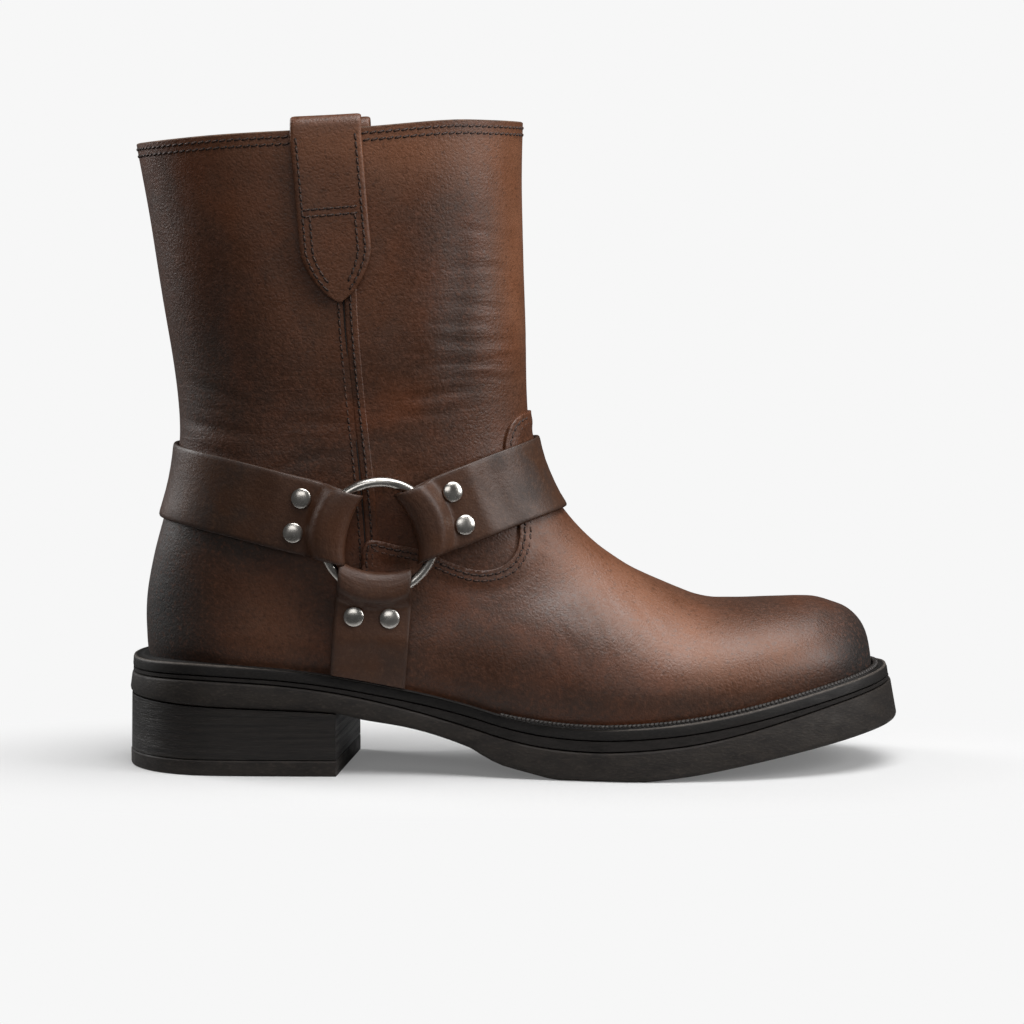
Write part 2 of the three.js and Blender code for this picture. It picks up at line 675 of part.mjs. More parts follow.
function makeHeelBlock() {
  const foot = () => topPieceThickness + clearance;
  const top = (x) => Math.max(tread(x) - clearance, topPieceThickness + 2 * clearance);
  return solid(skin([
    soleRing(() => heelFlare * 0.2, foot),
    soleRing(() => heelFlare * 0.45, top),
  ])).subtract(heelCut());
}

function makeTopPiece() {
  return solid(skin([
    soleRing(() => edgeBevel, () => 0),
    soleRing(() => 0, () => edgeBevel),
    soleRing(() => 0, () => topPieceThickness),
  ])).subtract(heelCut());
}

// The insole lies on the midsole inside the welt and comes up just over the seat.
function makeInsole() {
  const insoleGap = upperThickness + vampThickness + 2 * clearance;
  const inset = (x) => weltInner(x) + clearance;
  return solid(skin([
    soleRing(inset, (x) => midsoleTop(x) + clearance),
    soleRing(inset, (x) => seat(x)),
    upperFootRing(-insoleGap, (x) => seat(x) + clearance),
    upperFootRing(-insoleGap, (x) => seat(x) + insoleThickness),
  ]));
}

// Harness

const toRadians = Math.PI / 180;
const ringCentreX = ringX - soleLength / 2;
const ringMean = (ringDiameter - ringWire) / 2;
const strapSingle = strapGap + strapThickness / 2;
const strapDouble = strapSingle + strapThickness + clearance;
const foldRadius = ringWire / 2 + foldGap + strapThickness / 2;

// The ring lies flat against the ankle, just high enough for the straps to pass under its wire.
function ringPlane(side) {
  const step = 6;
  const base = (dx, dz) => bedAt(ringCentreX + dx, ringHeight + dz, side);
  const along = new THREE.Vector3(2 * step, base(step, 0) - base(-step, 0), 0);
  const up = new THREE.Vector3(0, base(0, step) - base(0, -step), 2 * step);
  const normal = along.clone().cross(up).normalize();
  if (normal.y * side < 0) normal.negate();
  const centre = new THREE.Vector3(ringCentreX, base(0, 0), ringHeight);
  const sideways = new THREE.Vector3(0, 0, 1).cross(normal).normalize();
  const upwards = normal.clone().cross(sideways);
  let least = Infinity;
  for (let i = 0; i < 24; i++) {
    const angle = i / 12 * Math.PI;
    const point = centre.clone().addScaledVector(sideways, ringMean * Math.cos(angle));
    point.addScaledVector(upwards, ringMean * Math.sin(angle));
    least = Math.min(least, (point.y - base(point.x - ringCentreX, point.z - ringHeight)) * side * Math.abs(normal.y));
  }
  const lowest = strapSingle + foldRadius + clearance / 2;
  return { centre: centre.addScaledVector(normal, lowest - Math.min(least, 0)), normal };
}
const ringPlanes = { lateral: ringPlane(-1), medial: ringPlane(1) };

// Lines of a strap over the surface, counted from the ring's centre: offset is the line's place across the strap.
// The line goes straight out in the side view and sags by bend before it turns round the edge.
function makeWalks(strap, side) {
  const cache = new Map();
  return (offset) => {
    const key = Math.round(offset * 1e4);
    if (!cache.has(key)) cache.set(key, walk(strap, side, offset));
    return cache.get(key);
  };
}
function walk({ direction, bend, stopAtSeat }, side, offset) {
  const [dx, dz] = direction;
  const reach = 90;
  const place = (s) => {
    const x = ringCentreX - dz * offset + dx * s;
    return [x, ringHeight + dx * offset + dz * s - bend * Math.min(s / reach, 1.2) ** 4];
  };
  const within = (s) => {
    const [x, z] = place(s);
    if (stopAtSeat && z < seat(x) + 3 * clearance) return false;
    return bedAt(x, z, side) !== null;
  };
  let [low, high] = [0, soleLength];
  for (let i = 0; i < 40; i++) {
    const middle = (low + high) / 2;
    if (within(middle)) low = middle;
    else high = middle;
  }
  const points = [];
  const steps = 40;
  const add = (s, onSide) => {
    const [x, z] = place(s);
    points.push(new THREE.Vector3(x, bedAt(x, z, onSide), z));
  };
  if (stopAtSeat) {
    for (let i = 0; i <= steps; i++) add(mix(0, low, i / steps), side);
  } else {
    for (let i = 0; i < steps; i++) add(low * Math.sin(i / steps * Math.PI / 2), -1);
    for (let i = steps - 1; i >= 0; i--) add(low * Math.sin(i / steps * Math.PI / 2), 1);
  }
  const lengths = [0];
  for (let i = 1; i < points.length; i++) lengths.push(lengths[i - 1] + points[i].distanceTo(points[i - 1]));
  const total = lengths[lengths.length - 1];
  const width = new THREE.Vector3(-dz, 0, dx);
  const at = (distance) => {
    const wanted = clamp(distance, 0, total);
    let i = 0;
    while (i < lengths.length - 2 && lengths[i + 1] < wanted) i++;
    const t = (wanted - lengths[i]) / (lengths[i + 1] - lengths[i]);
    return points[i].clone().lerp(points[i + 1], t);
  };
  const read = (distance, lift) => {
    const tangent = at(distance + 2).sub(at(distance - 2)).normalize();
    const normal = tangent.cross(width).normalize();
    if (stopAtSeat && side > 0) normal.negate();
    return { point: at(distance).addScaledVector(normal, lift), normal };
  };
  // How far the ring's wire is along this line, and how high it is above the surface there.
  const wire = (plane, fromFar) => {
    const where = (s) => (fromFar ? total - s : s);
    const heightAt = (s) => {
      const { point, normal } = read(where(s), 0);
      return plane.centre.clone().sub(point).dot(plane.normal) / plane.normal.dot(normal);
    };
    let [near, far] = [4, ringMean + 8];
    for (let i = 0; i < 30; i++) {
      const middle = (near + far) / 2;
      const lifted = read(where(middle), heightAt(middle)).point;
      if (lifted.distanceTo(plane.centre) < ringMean) near = middle;
      else far = middle;
    }
    return { s: near, height: heightAt(near) };
  };
  return { read, total, wire };
}

// The stations of a strap's end: each has a distance along it, a lift over the surface, and how much of the strap's
// width is left. The lower layer starts at the tongue's end, folds round the wire, and the outer layer runs back.
const lowerShares = [1, 0.7, 0.42, 0.2, 0.08];
const upperShares = [0.08, 0.2, 0.42, 0.7, 1, 1.2, 1.45, 1.7];
const foldTurns = 6;
const foldWaist = 0.88;
function strapEnd(walks, share, plane, fromFar, drop = 0) {
  const offset = (share - 0.5) * strapWidth - drop;
  const narrow = (share - 0.5) * strapWidth * foldWaist - drop;
  const wire = walks(narrow).wire(plane, fromFar);
  const slant = Math.sqrt(1 - (narrow / ringMean) ** 2);
  const foldLength = ringWire / 2 / slant + foldGap + strapThickness / 2;
  const stations = [];
  const along = (t) => mix(wire.s, strapTongue, t);
  const settle = (t) => smooth(0.1, 0.42, t);
  const taper = (t) => mix(narrow, offset, smooth(0, 0.6, t));
  for (const t of lowerShares) {
    const lift = mix(wire.height - foldRadius, strapSingle, settle(t));
    stations.push({ s: along(t), lift, offset: taper(t) });
  }
  for (let i = 0; i <= foldTurns; i++) {
    const angle = Math.PI * i / foldTurns;
    const lift = wire.height - foldRadius * Math.cos(angle);
    stations.push({ s: wire.s - foldLength * Math.sin(angle), lift, offset: narrow });
  }
  for (const t of upperShares) {
    const both = mix(wire.height + foldRadius, strapDouble, settle(t));
    stations.push({ s: along(t), lift: mix(both, strapSingle, smooth(1, 1.6, t)), offset: taper(t) });
  }
  return stations;
}

// Sweeps a strip's flat section along one path of points for each line across it.
function sweepStrip(paths, width, thickness) {
  const rings = [];
  const count = paths[0].length;
  for (let i = 0; i < count; i++) {
    const above = [];
    const below = [];
    for (const path of paths) {
      const tangent = path[Math.min(i + 1, count - 1)].clone().sub(path[Math.max(i - 1, 0)]).normalize();
      const normal = tangent.cross(width).normalize().multiplyScalar(thickness / 2);
      above.push(path[i].clone().add(normal).toArray());
      below.unshift(path[i].clone().sub(normal).toArray());
    }
    rings.push([...above, ...below]);
  }
  return solid(skin(rings));
}

const acrossShares = Array.from({ length: strapAcross + 1 }, (_, i) => i / strapAcross);
const pointAt = (walks, { s, lift, offset }, fromFar) => {
  const line = walks(offset);
  return line.read(fromFar ? line.total - s : s, lift).point;
};

// Round rivets hold each strap's two layers together beside the ring.
function rivetPlaces(walks, reach, fromFar, drop = 0) {
  return [-rivetSpacing / 2, rivetSpacing / 2].map((across) => {
    const lift = strapDouble + strapThickness / 2 + rivetGap;
    const at = (place) => {
      const line = walks(place);
      return line.read(fromFar ? line.total - reach : reach, lift);
    };
    const step = strapWidth / strapAcross;
    const low = (Math.floor(across / step + strapAcross / 2) - strapAcross / 2) * step;
    const point = at(low - drop).point.lerp(at(low - drop + step).point, (across - low) / step);
    return { point, normal: at(across - drop).normal };
  });
}
// The hole for a rivet's stem, with a shallow seat that the cap presses into the leather.
function holeCutter({ point, normal }) {
  const turn = new THREE.Quaternion().setFromUnitVectors(new THREE.Vector3(0, 1, 0), normal);
  const cylinder = (radius, from, to) => {
    const geometry = new THREE.CylinderGeometry(radius, radius, to - from, 8);
    geometry.translate(0, (from + to) / 2, 0);
    geometry.applyQuaternion(turn);
    geometry.translate(point.x, point.y, point.z);
    return solid(geometry);
  };
  const hole = cylinder(rivetStem / 2 + clearance, -2 * strapDouble, rivetDome);
  return hole.add(cylinder(rivetDiameter / 2 + clearance, -clearance, 2 * rivetDome));
}
const punched = (strap, places) => places.reduce((left, place) => left.subtract(holeCutter(place)), strap);

// A strap from ring to ring, round the back of the heel or over the instep.
function makeWrapStrap(strap, reach, drop = 0) {
  const walks = makeWalks(strap, -1);
  const steps = 24;
  const paths = acrossShares.map((share) => {
    const near = strapEnd(walks, share, ringPlanes.lateral, false, drop);
    const far = strapEnd(walks, share, ringPlanes.medial, true, drop).reverse();
    const { total } = walks((share - 0.5) * strapWidth - drop);
    const [from, to] = [near[near.length - 1], { ...far[0], s: total - far[0].s }];
    const path = near.map((station) => pointAt(walks, station, false));
    for (let i = 1; i < steps; i++) path.push(pointAt(walks, { ...from, s: mix(from.s, to.s, i / steps) }, false));
    return path.concat(far.map((station) => pointAt(walks, station, true)));
  });
  const width = new THREE.Vector3(-strap.direction[1], 0, strap.direction[0]);
  const places = [...rivetPlaces(walks, reach, false, drop), ...rivetPlaces(walks, reach, true, drop)];
  return { solid: punched(sweepStrip(paths, width, strapThickness), places), places };
}

// A strap from a ring down to the welt, on one side.
function makeDownStrap(strap, plane, side, reach) {
  const walks = makeWalks({ ...strap, stopAtSeat: true }, side);
  const steps = 5;
  const paths = acrossShares.map((share) => {
    const near = strapEnd(walks, share, plane, false);
    const from = near[near.length - 1];
    const { total } = walks((share - 0.5) * strapWidth);
    const path = near.map((station) => pointAt(walks, station, false));
    for (let i = 1; i <= steps; i++) path.push(pointAt(walks, { ...from, s: mix(from.s, total, i / steps) }, false));
    return path;
  });
  const width = new THREE.Vector3(-strap.direction[1], 0, strap.direction[0]);
  const places = rivetPlaces(walks, reach, false);
  return { solid: punched(sweepStrip(paths, width, strapThickness), places), places };
}

const strapAt = (degrees, bend) => ({
  direction: [Math.cos(degrees * toRadians), Math.sin(degrees * toRadians)],
  bend,
});

// Pull loops

// A loop starts at its pointed tip on the outside, goes up over the rim and down the inside of the shaft.
function makePullLoop(side) {
  const tilt = pullTilt * toRadians;
  const axis = [Math.sin(tilt), -Math.cos(tilt)];
  const rimX = pullX - soleLength / 2;
  const tipLine = rimHeight(rimX) - pullDrop;
  const half = pullThickness / 2;
  const outside = pullGap + half;
  const inside = -(upperThickness + pullGap + half);
  const overRadius = (outside - inside) / 2;
  const tipSteps = 6;
  const sideRows = 5;
  const turns = 6;
  const paths = [0, 0.25, 0.5, 0.75, 1].map((share) => {
    const across = (share - 0.5) * pullWidth;
    const path = [];
    const face = (drop, lift, widthShare) => {
      const x = rimX + axis[0] * drop + Math.cos(tilt) * across * widthShare;
      const z = rimHeight(rimX) + axis[1] * drop + Math.sin(tilt) * across * widthShare;
      const step = 2;
      const y = faceAt(x, z, side);
      const slopeX = (faceAt(x + step, z, side) - faceAt(x - step, z, side)) / (2 * step);
      const slopeZ = (faceAt(x, z + step / 2, side) - faceAt(x, z - step / 2, side)) / step;
      const normal = new THREE.Vector3(-slopeX * side, side, -slopeZ * side);
      normal.normalize();
      if (normal.y * side < 0) normal.negate();
      return new THREE.Vector3(x, y, z).addScaledVector(normal, lift);
    };
    for (let i = 0; i < tipSteps; i++) {
      const t = i / tipSteps;
      const drop = pullDrop - pullTipLength * t ** 1.5;
      path.push(face(drop, outside, Math.max(roundEnd(t ** 1.5, 1, 1.5), 0.08)));
    }
    for (let i = 0; i <= sideRows; i++) path.push(face(mix(pullDrop - pullTipLength, 3, i / sideRows), outside, 1));
    const rimPoint = face(3, 0, 1);
    const outer = face(3, 1, 1).sub(rimPoint);
    outer.z = 0;
    outer.normalize();
    const middle = rimPoint.addScaledVector(outer, (outside + inside) / 2);
    const top = rimHeight(middle.x) + pullRise - overRadius;
    for (let i = 0; i <= turns; i++) {
      const angle = Math.PI * i / turns;
      const place = middle.clone().addScaledVector(outer, overRadius * Math.cos(angle));
      place.z = top + overRadius * Math.sin(angle);
      path.push(place);
    }
    for (let i = 0; i <= sideRows; i++) path.push(face(mix(3, pullInside, i / sideRows), inside, 1));
    return path;
  });
  return sweepStrip(paths, new THREE.Vector3(Math.cos(tilt), 0, Math.sin(tilt)), pullThickness);
}

// The boot

const leather = new THREE.MeshStandardMaterial({ color: 0x5b3524, roughness: 0.5, metalness: 0 });
const strapLeather = new THREE.MeshStandardMaterial({ color: 0x4d3023, roughness: 0.55, metalness: 0 });
const insoleLeather = new THREE.MeshStandardMaterial({ color: 0x9a7452, roughness: 0.8, metalness: 0 });
const soleLeather = new THREE.MeshStandardMaterial({ color: 0x2b211c, roughness: 0.8, metalness: 0 });
const rubber = new THREE.MeshStandardMaterial({ color: 0x1f1b19, roughness: 0.9, metalness: 0 });
const metal = new THREE.MeshStandardMaterial({ color: 0x8d8a88, roughness: 0.25, metalness: 1 });

const boot = new THREE.Group();
function place(name, manifold, material) {
  const mesh = new THREE.Mesh(geometryOf(manifold), material);
  mesh.name = name;
  boot.add(mesh);
  return mesh;
}

place('outsole', makeOutsole(), rubber);
place('midsole', makeMidsole(), soleLeather);
place('welt', makeWelt(), soleLeather);
place('heel_block', makeHeelBlock(), soleLeather);
place('heel_top_piece', makeTopPiece(), rubber);
place('upper', makeUpper(), leather);
place('insole', makeInsole(), insoleLeather);
place('pull_loop_outer', makePullLoop(-1), leather);
place('pull_loop_inner', makePullLoop(1), leather);

const heelStrap = makeWrapStrap(strapAt(180 - heelStrapTilt, heelStrapSag), rivetReach);
const instepStrap = makeWrapStrap(strapAt(instepStrapTilt, instepStrapSag), rivetReach, instepStrapDrop);
const down = strapAt(-90 - downStrapTilt, 0);
const downOuter = makeDownStrap(down, ringPlanes.lateral, -1, rivetReach);
const downInner = makeDownStrap(down, ringPlanes.medial, 1, rivetReach);
place('heel_strap', heelStrap.solid, strapLeather);
place('instep_strap', instepStrap.solid, strapLeather);
place('down_strap_outer', downOuter.solid, strapLeather);
place('down_strap_inner', downInner.solid, strapLeather);

function placeRing(name, { centre, normal }) {
  const mesh = new THREE.Mesh(new THREE.TorusGeometry(ringMean, ringWire / 2, 8, 28), metal);
  mesh.name = name;
  mesh.quaternion.setFromUnitVectors(new THREE.Vector3(0, 0, 1), normal);
  mesh.position.copy(centre);
  boot.add(mesh);
}
placeRing('ring_outer', ringPlanes.lateral);
placeRing('ring_inner', ringPlanes.medial);

// A rivet is a low dome on a stem that goes through both layers, with its axis along Y.
const stemLength = strapDouble + strapThickness / 2 - clearance;
const domeSteps = 3;
const rivetProfile = [
  new THREE.Vector2(0, -stemLength),
  new THREE.Vector2(rivetStem / 2, -stemLength),
  new THREE.Vector2(rivetStem / 2, 0),
  new THREE.Vector2(rivetDiameter / 2, 0),
];
for (let i = 0; i <= domeSteps; i++) {
  const angle = i / domeSteps * Math.PI / 2;
  const radius = i === domeSteps ? 0 : rivetDiameter / 2 * Math.cos(angle);
  rivetProfile.push(new THREE.Vector2(radius, 0.4 + (rivetDome - 0.4) * Math.sin(angle)));
}
const rivetPlacesByName = {
  rivet_heel_strap: heelStrap.places,
  rivet_instep_strap: instepStrap.places,
  rivet_down_outer: downOuter.places,
  rivet_down_inner: downInner.places,
};
for (const [name, places] of Object.entries(rivetPlacesByName)) {
  places.forEach(({ point, normal }, i) => {
    const mesh = new THREE.Mesh(new THREE.LatheGeometry(rivetProfile, 10), metal);
    mesh.name = `${name}_${i + 1}`;
    mesh.quaternion.setFromUnitVectors(new THREE.Vector3(0, 1, 0), normal);
    mesh.position.copy(point);
    boot.add(mesh);
  });
}

export default boot;
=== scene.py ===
# A leather harness boot for the right foot: fine surfaces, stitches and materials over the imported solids.
# Lengths are in millimetres until a mesh is made, in the frame of the solids:
# +X to the toe, +Y to the boot's inner side, +Z up.
import math

import bmesh
import bpy
import numpy as np
from mathutils import Matrix, Vector

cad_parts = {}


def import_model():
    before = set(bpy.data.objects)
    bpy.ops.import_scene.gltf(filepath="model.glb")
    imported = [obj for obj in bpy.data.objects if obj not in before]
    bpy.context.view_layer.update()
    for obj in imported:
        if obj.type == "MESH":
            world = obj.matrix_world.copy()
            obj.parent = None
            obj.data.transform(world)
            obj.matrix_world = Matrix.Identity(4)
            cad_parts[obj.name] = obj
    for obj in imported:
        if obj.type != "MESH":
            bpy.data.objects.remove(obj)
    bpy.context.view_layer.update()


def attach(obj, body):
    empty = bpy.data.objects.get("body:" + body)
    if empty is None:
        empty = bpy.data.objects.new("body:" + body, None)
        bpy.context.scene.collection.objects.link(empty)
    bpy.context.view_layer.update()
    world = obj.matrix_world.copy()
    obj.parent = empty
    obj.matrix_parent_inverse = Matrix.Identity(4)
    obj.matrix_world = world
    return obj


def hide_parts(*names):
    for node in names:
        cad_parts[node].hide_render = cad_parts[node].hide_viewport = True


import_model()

# Sizes of the boot, as in its solids
SOLE_LENGTH = 309.5
SOLE_WIDTH = 109.0
HEEL_SEAT = 44.0
BALL_SEAT = 20.5
TOE_SEAT = 41.0
HEEL_BREAST = 25.0
HEEL_LENGTH = 88.0
HEEL_SKEW = 7.0
TOP_PIECE = 6.2
WELT = 4.5
MIDSOLE = 4.0
TREAD_RISE = 18.0
TREAD_STEP = 1.0
TOE_FLARE = 4.2
HEEL_FLARE = 1.3
COLLAR = 257.0
THROAT = 142.0
TOE_BOX = 64.1
COLLAR_WIDTH = 93.0
ANKLE_WIDTH = 80.0
UPPER_THICK = 2.4
VAMP_THICK = 1.4
UPPER_BULGE = 2.0
INSTEP_LEAN = 4.0
STRAP_WIDTH = 30.0
STRAP_THICK = 2.0
RING_DIAMETER = 48.0
RING_WIRE = 4.0
RING_X = 101.6 - SOLE_LENGTH / 2
RING_Z = 95.8
STRAP_TONGUE = 39.5
STRAP_GAP = 0.6
FOLD_GAP = 0.6
RIVET_GAP = 0.4
RIVET_REACH = 32.4
RIVET_SPACING = 14.0
CLEARANCE = 0.3
INSTEP_DROP = 1.4
INSOLE = 3.0
PULL_WIDTH = 27.4
PULL_THICK = 2.6
PULL_X = 82.0 - SOLE_LENGTH / 2
PULL_TILT = math.radians(4.6)
PULL_DROP = 66.2
PULL_TIP = 20.0
PULL_RISE = 4.4
PULL_INSIDE = 46.0
PULL_GAP = 0.6


def mix(a, b, t):
    return a + (b - a) * t


def smooth(low, high, value):
    t = np.clip((value - low) / (high - low), 0, 1)
    return t * t * (3 - 2 * t)


def crowd(t):
    return (1 - np.cos(np.pi * np.asarray(t, float))) / 2


def round_end(distance, reach, power):
    left = 1 - np.clip(np.asarray(distance, float) / reach, 0, 1)
    return np.maximum(1 - left**power, 0) ** (1 / power)


def halved(low, high, holds, tries):
    """The last place from low towards high where something still holds."""
    for _ in range(tries):
        middle = (low + high) / 2
        if holds(middle):
            low = middle
        else:
            high = middle
    return low


def travelled(points):
    """How far along a line of points each of them lies."""
    return np.concatenate([[0], np.cumsum(np.linalg.norm(np.diff(points, axis=0), axis=1))])


def unit(vector):
    return vector / np.linalg.norm(vector)


class Curve:
    """A smooth curve through (at, value) pairs, flat past its ends."""

    def __init__(self, rows):
        self.at = np.array([row[0] for row in rows], float)
        self.value = np.array([row[1] for row in rows], float)
        last = len(rows) - 1
        low = [max(k - 1, 0) for k in range(last + 1)]
        high = [min(k + 1, last) for k in range(last + 1)]
        self.slope = (self.value[high] - self.value[low]) / (self.at[high] - self.at[low])

    def __call__(self, where):
        where = np.clip(where, self.at[0], self.at[-1])
        i = np.clip(np.searchsorted(self.at, where, side="right") - 1, 0, len(self.at) - 2)
        span = self.at[i + 1] - self.at[i]
        t = (where - self.at[i]) / span
        rise = self.value[i + 1] - self.value[i]
        m0 = self.slope[i] * span
        m1 = self.slope[i + 1] * span
        return self.value[i] + t * (m0 + t * (3 * rise - 2 * m0 - m1 + t * (m0 + m1 - 2 * rise)))


def share_of(x):
    return x / SOLE_LENGTH + 0.5


def x_at(share):
    return (share - 0.5) * SOLE_LENGTH


# Plan of the sole: share of the length, middle line, half width
PLAN = [
    (0.0, 0.04, 0.68), (0.13, -0.03, 0.68), (0.27, -0.09, 0.645), (0.4, -0.13, 0.6), (0.52, -0.12, 0.74),
    (0.63, -0.06, 0.93), (0.7, -0.01, 0.99), (0.77, 0.03, 0.98), (0.88, 0.075, 0.93), (1.0, 0.1, 0.88),
]
plan_centre_curve = Curve([(a, c) for a, c, h in PLAN])
plan_half_curve = Curve([(a, h) for a, c, h in PLAN])
HEEL_ROUND, HEEL_POWER, TOE_ROUND, TOE_POWER = 0.12, 2.2, 0.25, 2.3


def widest_middle():
    at = np.arange(101) / 100
    half = plan_half_curve(at) * round_end(1 - at, TOE_ROUND, TOE_POWER)
    low = min(0, (plan_centre_curve(at) - half).min())
    high = max(0, (plan_centre_curve(at) + half).max())
    return (low + high) / 2


PLAN_MIDDLE = widest_middle()


def plan_centre(x):
    return (plan_centre_curve(share_of(x)) - PLAN_MIDDLE) * SOLE_WIDTH / 2


def plan_half(x):
    return plan_half_curve(share_of(x)) * SOLE_WIDTH / 2


heel_seat_curve = Curve([
    (0.0, 1.0), (0.08, 1.02), (0.135, 0.99), (0.205, 0.93), (0.272, 0.82), (0.355, 0.61), (0.4, 0.48),
    (0.446, 0.33), (0.48, 0.2), (0.525, 0.075), (0.57, 0.015), (0.615, 0.0),
])
toe_seat_curve = Curve([
    (0.615, 0.0), (0.673, 0.05), (0.731, 0.14), (0.79, 0.29), (0.849, 0.48), (0.91, 0.69),
    (0.957, 0.85), (1.0, 1.0),
])
waist_curve = Curve([
    (0.0, 1.16), (0.13, 1.08), (0.27, 1.0), (0.305, 0.9), (0.378, 0.71), (0.451, 0.4), (0.48, 0.22),
    (0.51, 0.12), (0.55, 0.0),
])
spring_curve = Curve([
    (0.67, 0.0), (0.73, 0.13), (0.79, 0.31), (0.849, 0.5), (0.91, 0.7), (0.957, 0.86), (1.0, 1.0),
])
flare_curve = Curve([(0.0, 0.0), (0.35, 0.1), (0.7, 0.35), (1.0, 1.0)])
margin_curve = Curve([(0.0, 6.6), (0.14, 3.2), (0.4, 2.6), (0.65, 4.4), (1.0, 6.6)])
midsole_curve = Curve([(0.0, 0.4), (0.3, 0.5), (0.45, 1.0), (0.72, 1.0), (0.9, 0.5), (1.0, 0.4)])


def seat(x):
    at = share_of(x)
    back = mix(BALL_SEAT, HEEL_SEAT, heel_seat_curve(at))
    return np.where(at < 0.615, back, mix(BALL_SEAT, TOE_SEAT, toe_seat_curve(at)))


def tread(x):
    at = share_of(x)
    return np.where(at < 0.55, HEEL_BREAST * waist_curve(at), TREAD_RISE * spring_curve(at))


def flare(x):
    return mix(HEEL_FLARE, TOE_FLARE, flare_curve(share_of(x)))


def margin(x):
    return margin_curve(share_of(x))


# The last: fanned sections from above the collar, round the heel and over the toe.
# Columns: back end's share of the length and of the height, where None is under the seat, front end's share
# of the length and its height as front_height reads it, then back and front rounding and their powers
SECTIONS = [
    (0.0085, 1.03, 0.512, 2.08, 0.45, 0.45, 2.15, 2.15),
    (0.015, 0.957, 0.512, 2.0, 0.45, 0.45, 2.15, 2.15),
    (0.0317, 0.82, 0.5105, 1.78, 0.44, 0.46, 2.12, 2.12),
    (0.047, 0.68, 0.512, 1.52, 0.42, 0.48, 2.1, 2.1),
    (0.06, 0.56, 0.5153, 1.28, 0.4, 0.48, 2.1, 2.1),
    (0.067, 0.465, 0.5166, 1.06, 0.37, 0.5, 2.1, 2.05),
    (0.0673, 0.398, 0.5197, 0.894, 0.34, 0.52, 2.1, 2.0),
    (0.06, 0.328, 0.5269, 0.757, 0.32, 0.54, 2.1, 2.0),
    (0.046, 0.257, 0.5372, 0.649, 0.3, 0.55, 2.1, 2.0),
    (0.0325, 0.187, 0.5501, 0.545, 0.28, 0.56, 2.15, 2.0),
    (0.023, 0.115, 0.5673, 0.447, 0.26, 0.57, 2.2, 2.0),
    (0.022, 0.05, 0.5866, 0.364, 0.24, 0.57, 2.25, 2.0),
    (0.028, -0.008, 0.6072, 0.291, 0.22, 0.58, 2.3, 2.0),
    (0.055, None, 0.629, 0.229, 0.2, 0.58, 2.3, 2.0),
    (0.115, None, 0.6497, 0.177, 0.17, 0.59, 2.3, 2.0),
    (0.2, None, 0.6713, 0.134, 0.14, 0.6, 2.3, 2.02),
    (0.295, None, 0.6926, 0.095, 0.11, 0.61, 2.3, 2.05),
    (0.39, None, 0.714, 0.057, 0.09, 0.62, 2.3, 2.08),
    (0.48, None, 0.7358, 0.022, 0.08, 0.63, 2.3, 2.12),
    (0.56, None, 0.7592, 0.001, 0.08, 0.64, 2.3, 2.16),
    (0.63, None, 0.7824, -0.0031, 0.08, 0.65, 2.3, 2.2),
    (0.69, None, 0.805, -0.0036, 0.08, 0.66, 2.3, 2.25),
    (0.745, None, 0.8281, 0.0, 0.08, 0.67, 2.3, 2.3),
    (0.795, None, 0.8511, 0.003, 0.08, 0.68, 2.3, 2.3),
    (0.84, None, 0.8738, 0.006, 0.08, 0.69, 2.3, 2.3),
    (0.877, None, 0.8948, 0.002, 0.08, 0.7, 2.3, 2.3),
    (0.9055, None, 0.9153, -0.026, 0.08, 0.7, 2.3, 2.3),
    (0.928, None, 0.933, -0.061, 0.08, 0.7, 2.3, 2.3),
    (0.9452, None, 0.9472, -0.122, 0.08, 0.7, 2.3, 2.3),
    (0.955, None, 0.956, -0.2, 0.08, 0.7, 2.3, 2.3),
    (0.9602, None, 0.9608, -0.306, 0.08, 0.7, 2.3, 2.3),
    (0.9626, None, 0.9629, -0.4025, 0.08, 0.7, 2.3, 2.3),
]
UNDER_SEAT = 9.0
TOE_TIP = 0.9632


def front_height(share):
    if share > 1:
        return mix(THROAT, COLLAR, share - 1)
    if share > 0:
        return mix(TOE_BOX, THROAT, share)
    return TOE_BOX * (1 + share)


def side_curves():
    last = len(SECTIONS) - 1
    named = {"back_x": [], "back_z": [], "front_x": [], "front_z": []}
    for i, row in enumerate(SECTIONS):
        back_x = x_at(row[0])
        low = float(seat(back_x)) - UNDER_SEAT if row[1] is None else mix(HEEL_SEAT, COLLAR, row[1])
        named["back_x"].append((i / last, back_x))
        named["back_z"].append((i / last, low))
        named["front_x"].append((i / last, x_at(row[2])))
        named["front_z"].append((i / last, front_height(row[3])))
    for k, name in enumerate(("back_round", "front_round", "back_power", "front_power")):
        named[name] = [(i / last, row[4 + k]) for i, row in enumerate(SECTIONS)]
    return {name: Curve(rows) for name, rows in named.items()}


SIDE = side_curves()


def section_lines(at, grow):
    """Section lines in the side view at places of an array, with their ends moved outwards by grow."""
    at = np.atleast_1d(np.asarray(at, float))
    grow = np.broadcast_to(np.asarray(grow, float), at.shape)
    tip = smooth(0.78, 0.97, at)
    low = np.maximum(at - 0.002, 0)
    high = np.minimum(at + 0.002, 1)
    line = {}
    for end, turn in (("back", -1), ("front", 1)):
        dx = SIDE[end + "_x"](high) - SIDE[end + "_x"](low)
        dz = SIDE[end + "_z"](high) - SIDE[end + "_z"](low)
        length = np.maximum(np.hypot(dx, dz), 1e-9)
        out_x = -turn * dz / length
        out_z = turn * dx / length
        if end == "back":
            out_x = mix(out_x, 1, tip)
            out_z = out_z * (1 - tip)
        line[end + "_x"] = SIDE[end + "_x"](at) + out_x * grow
        line[end + "_z"] = SIDE[end + "_z"](at) + out_z * grow
    for name in ("back_round", "front_round", "back_power", "front_power"):
        line[name] = SIDE[name](at)
    return line


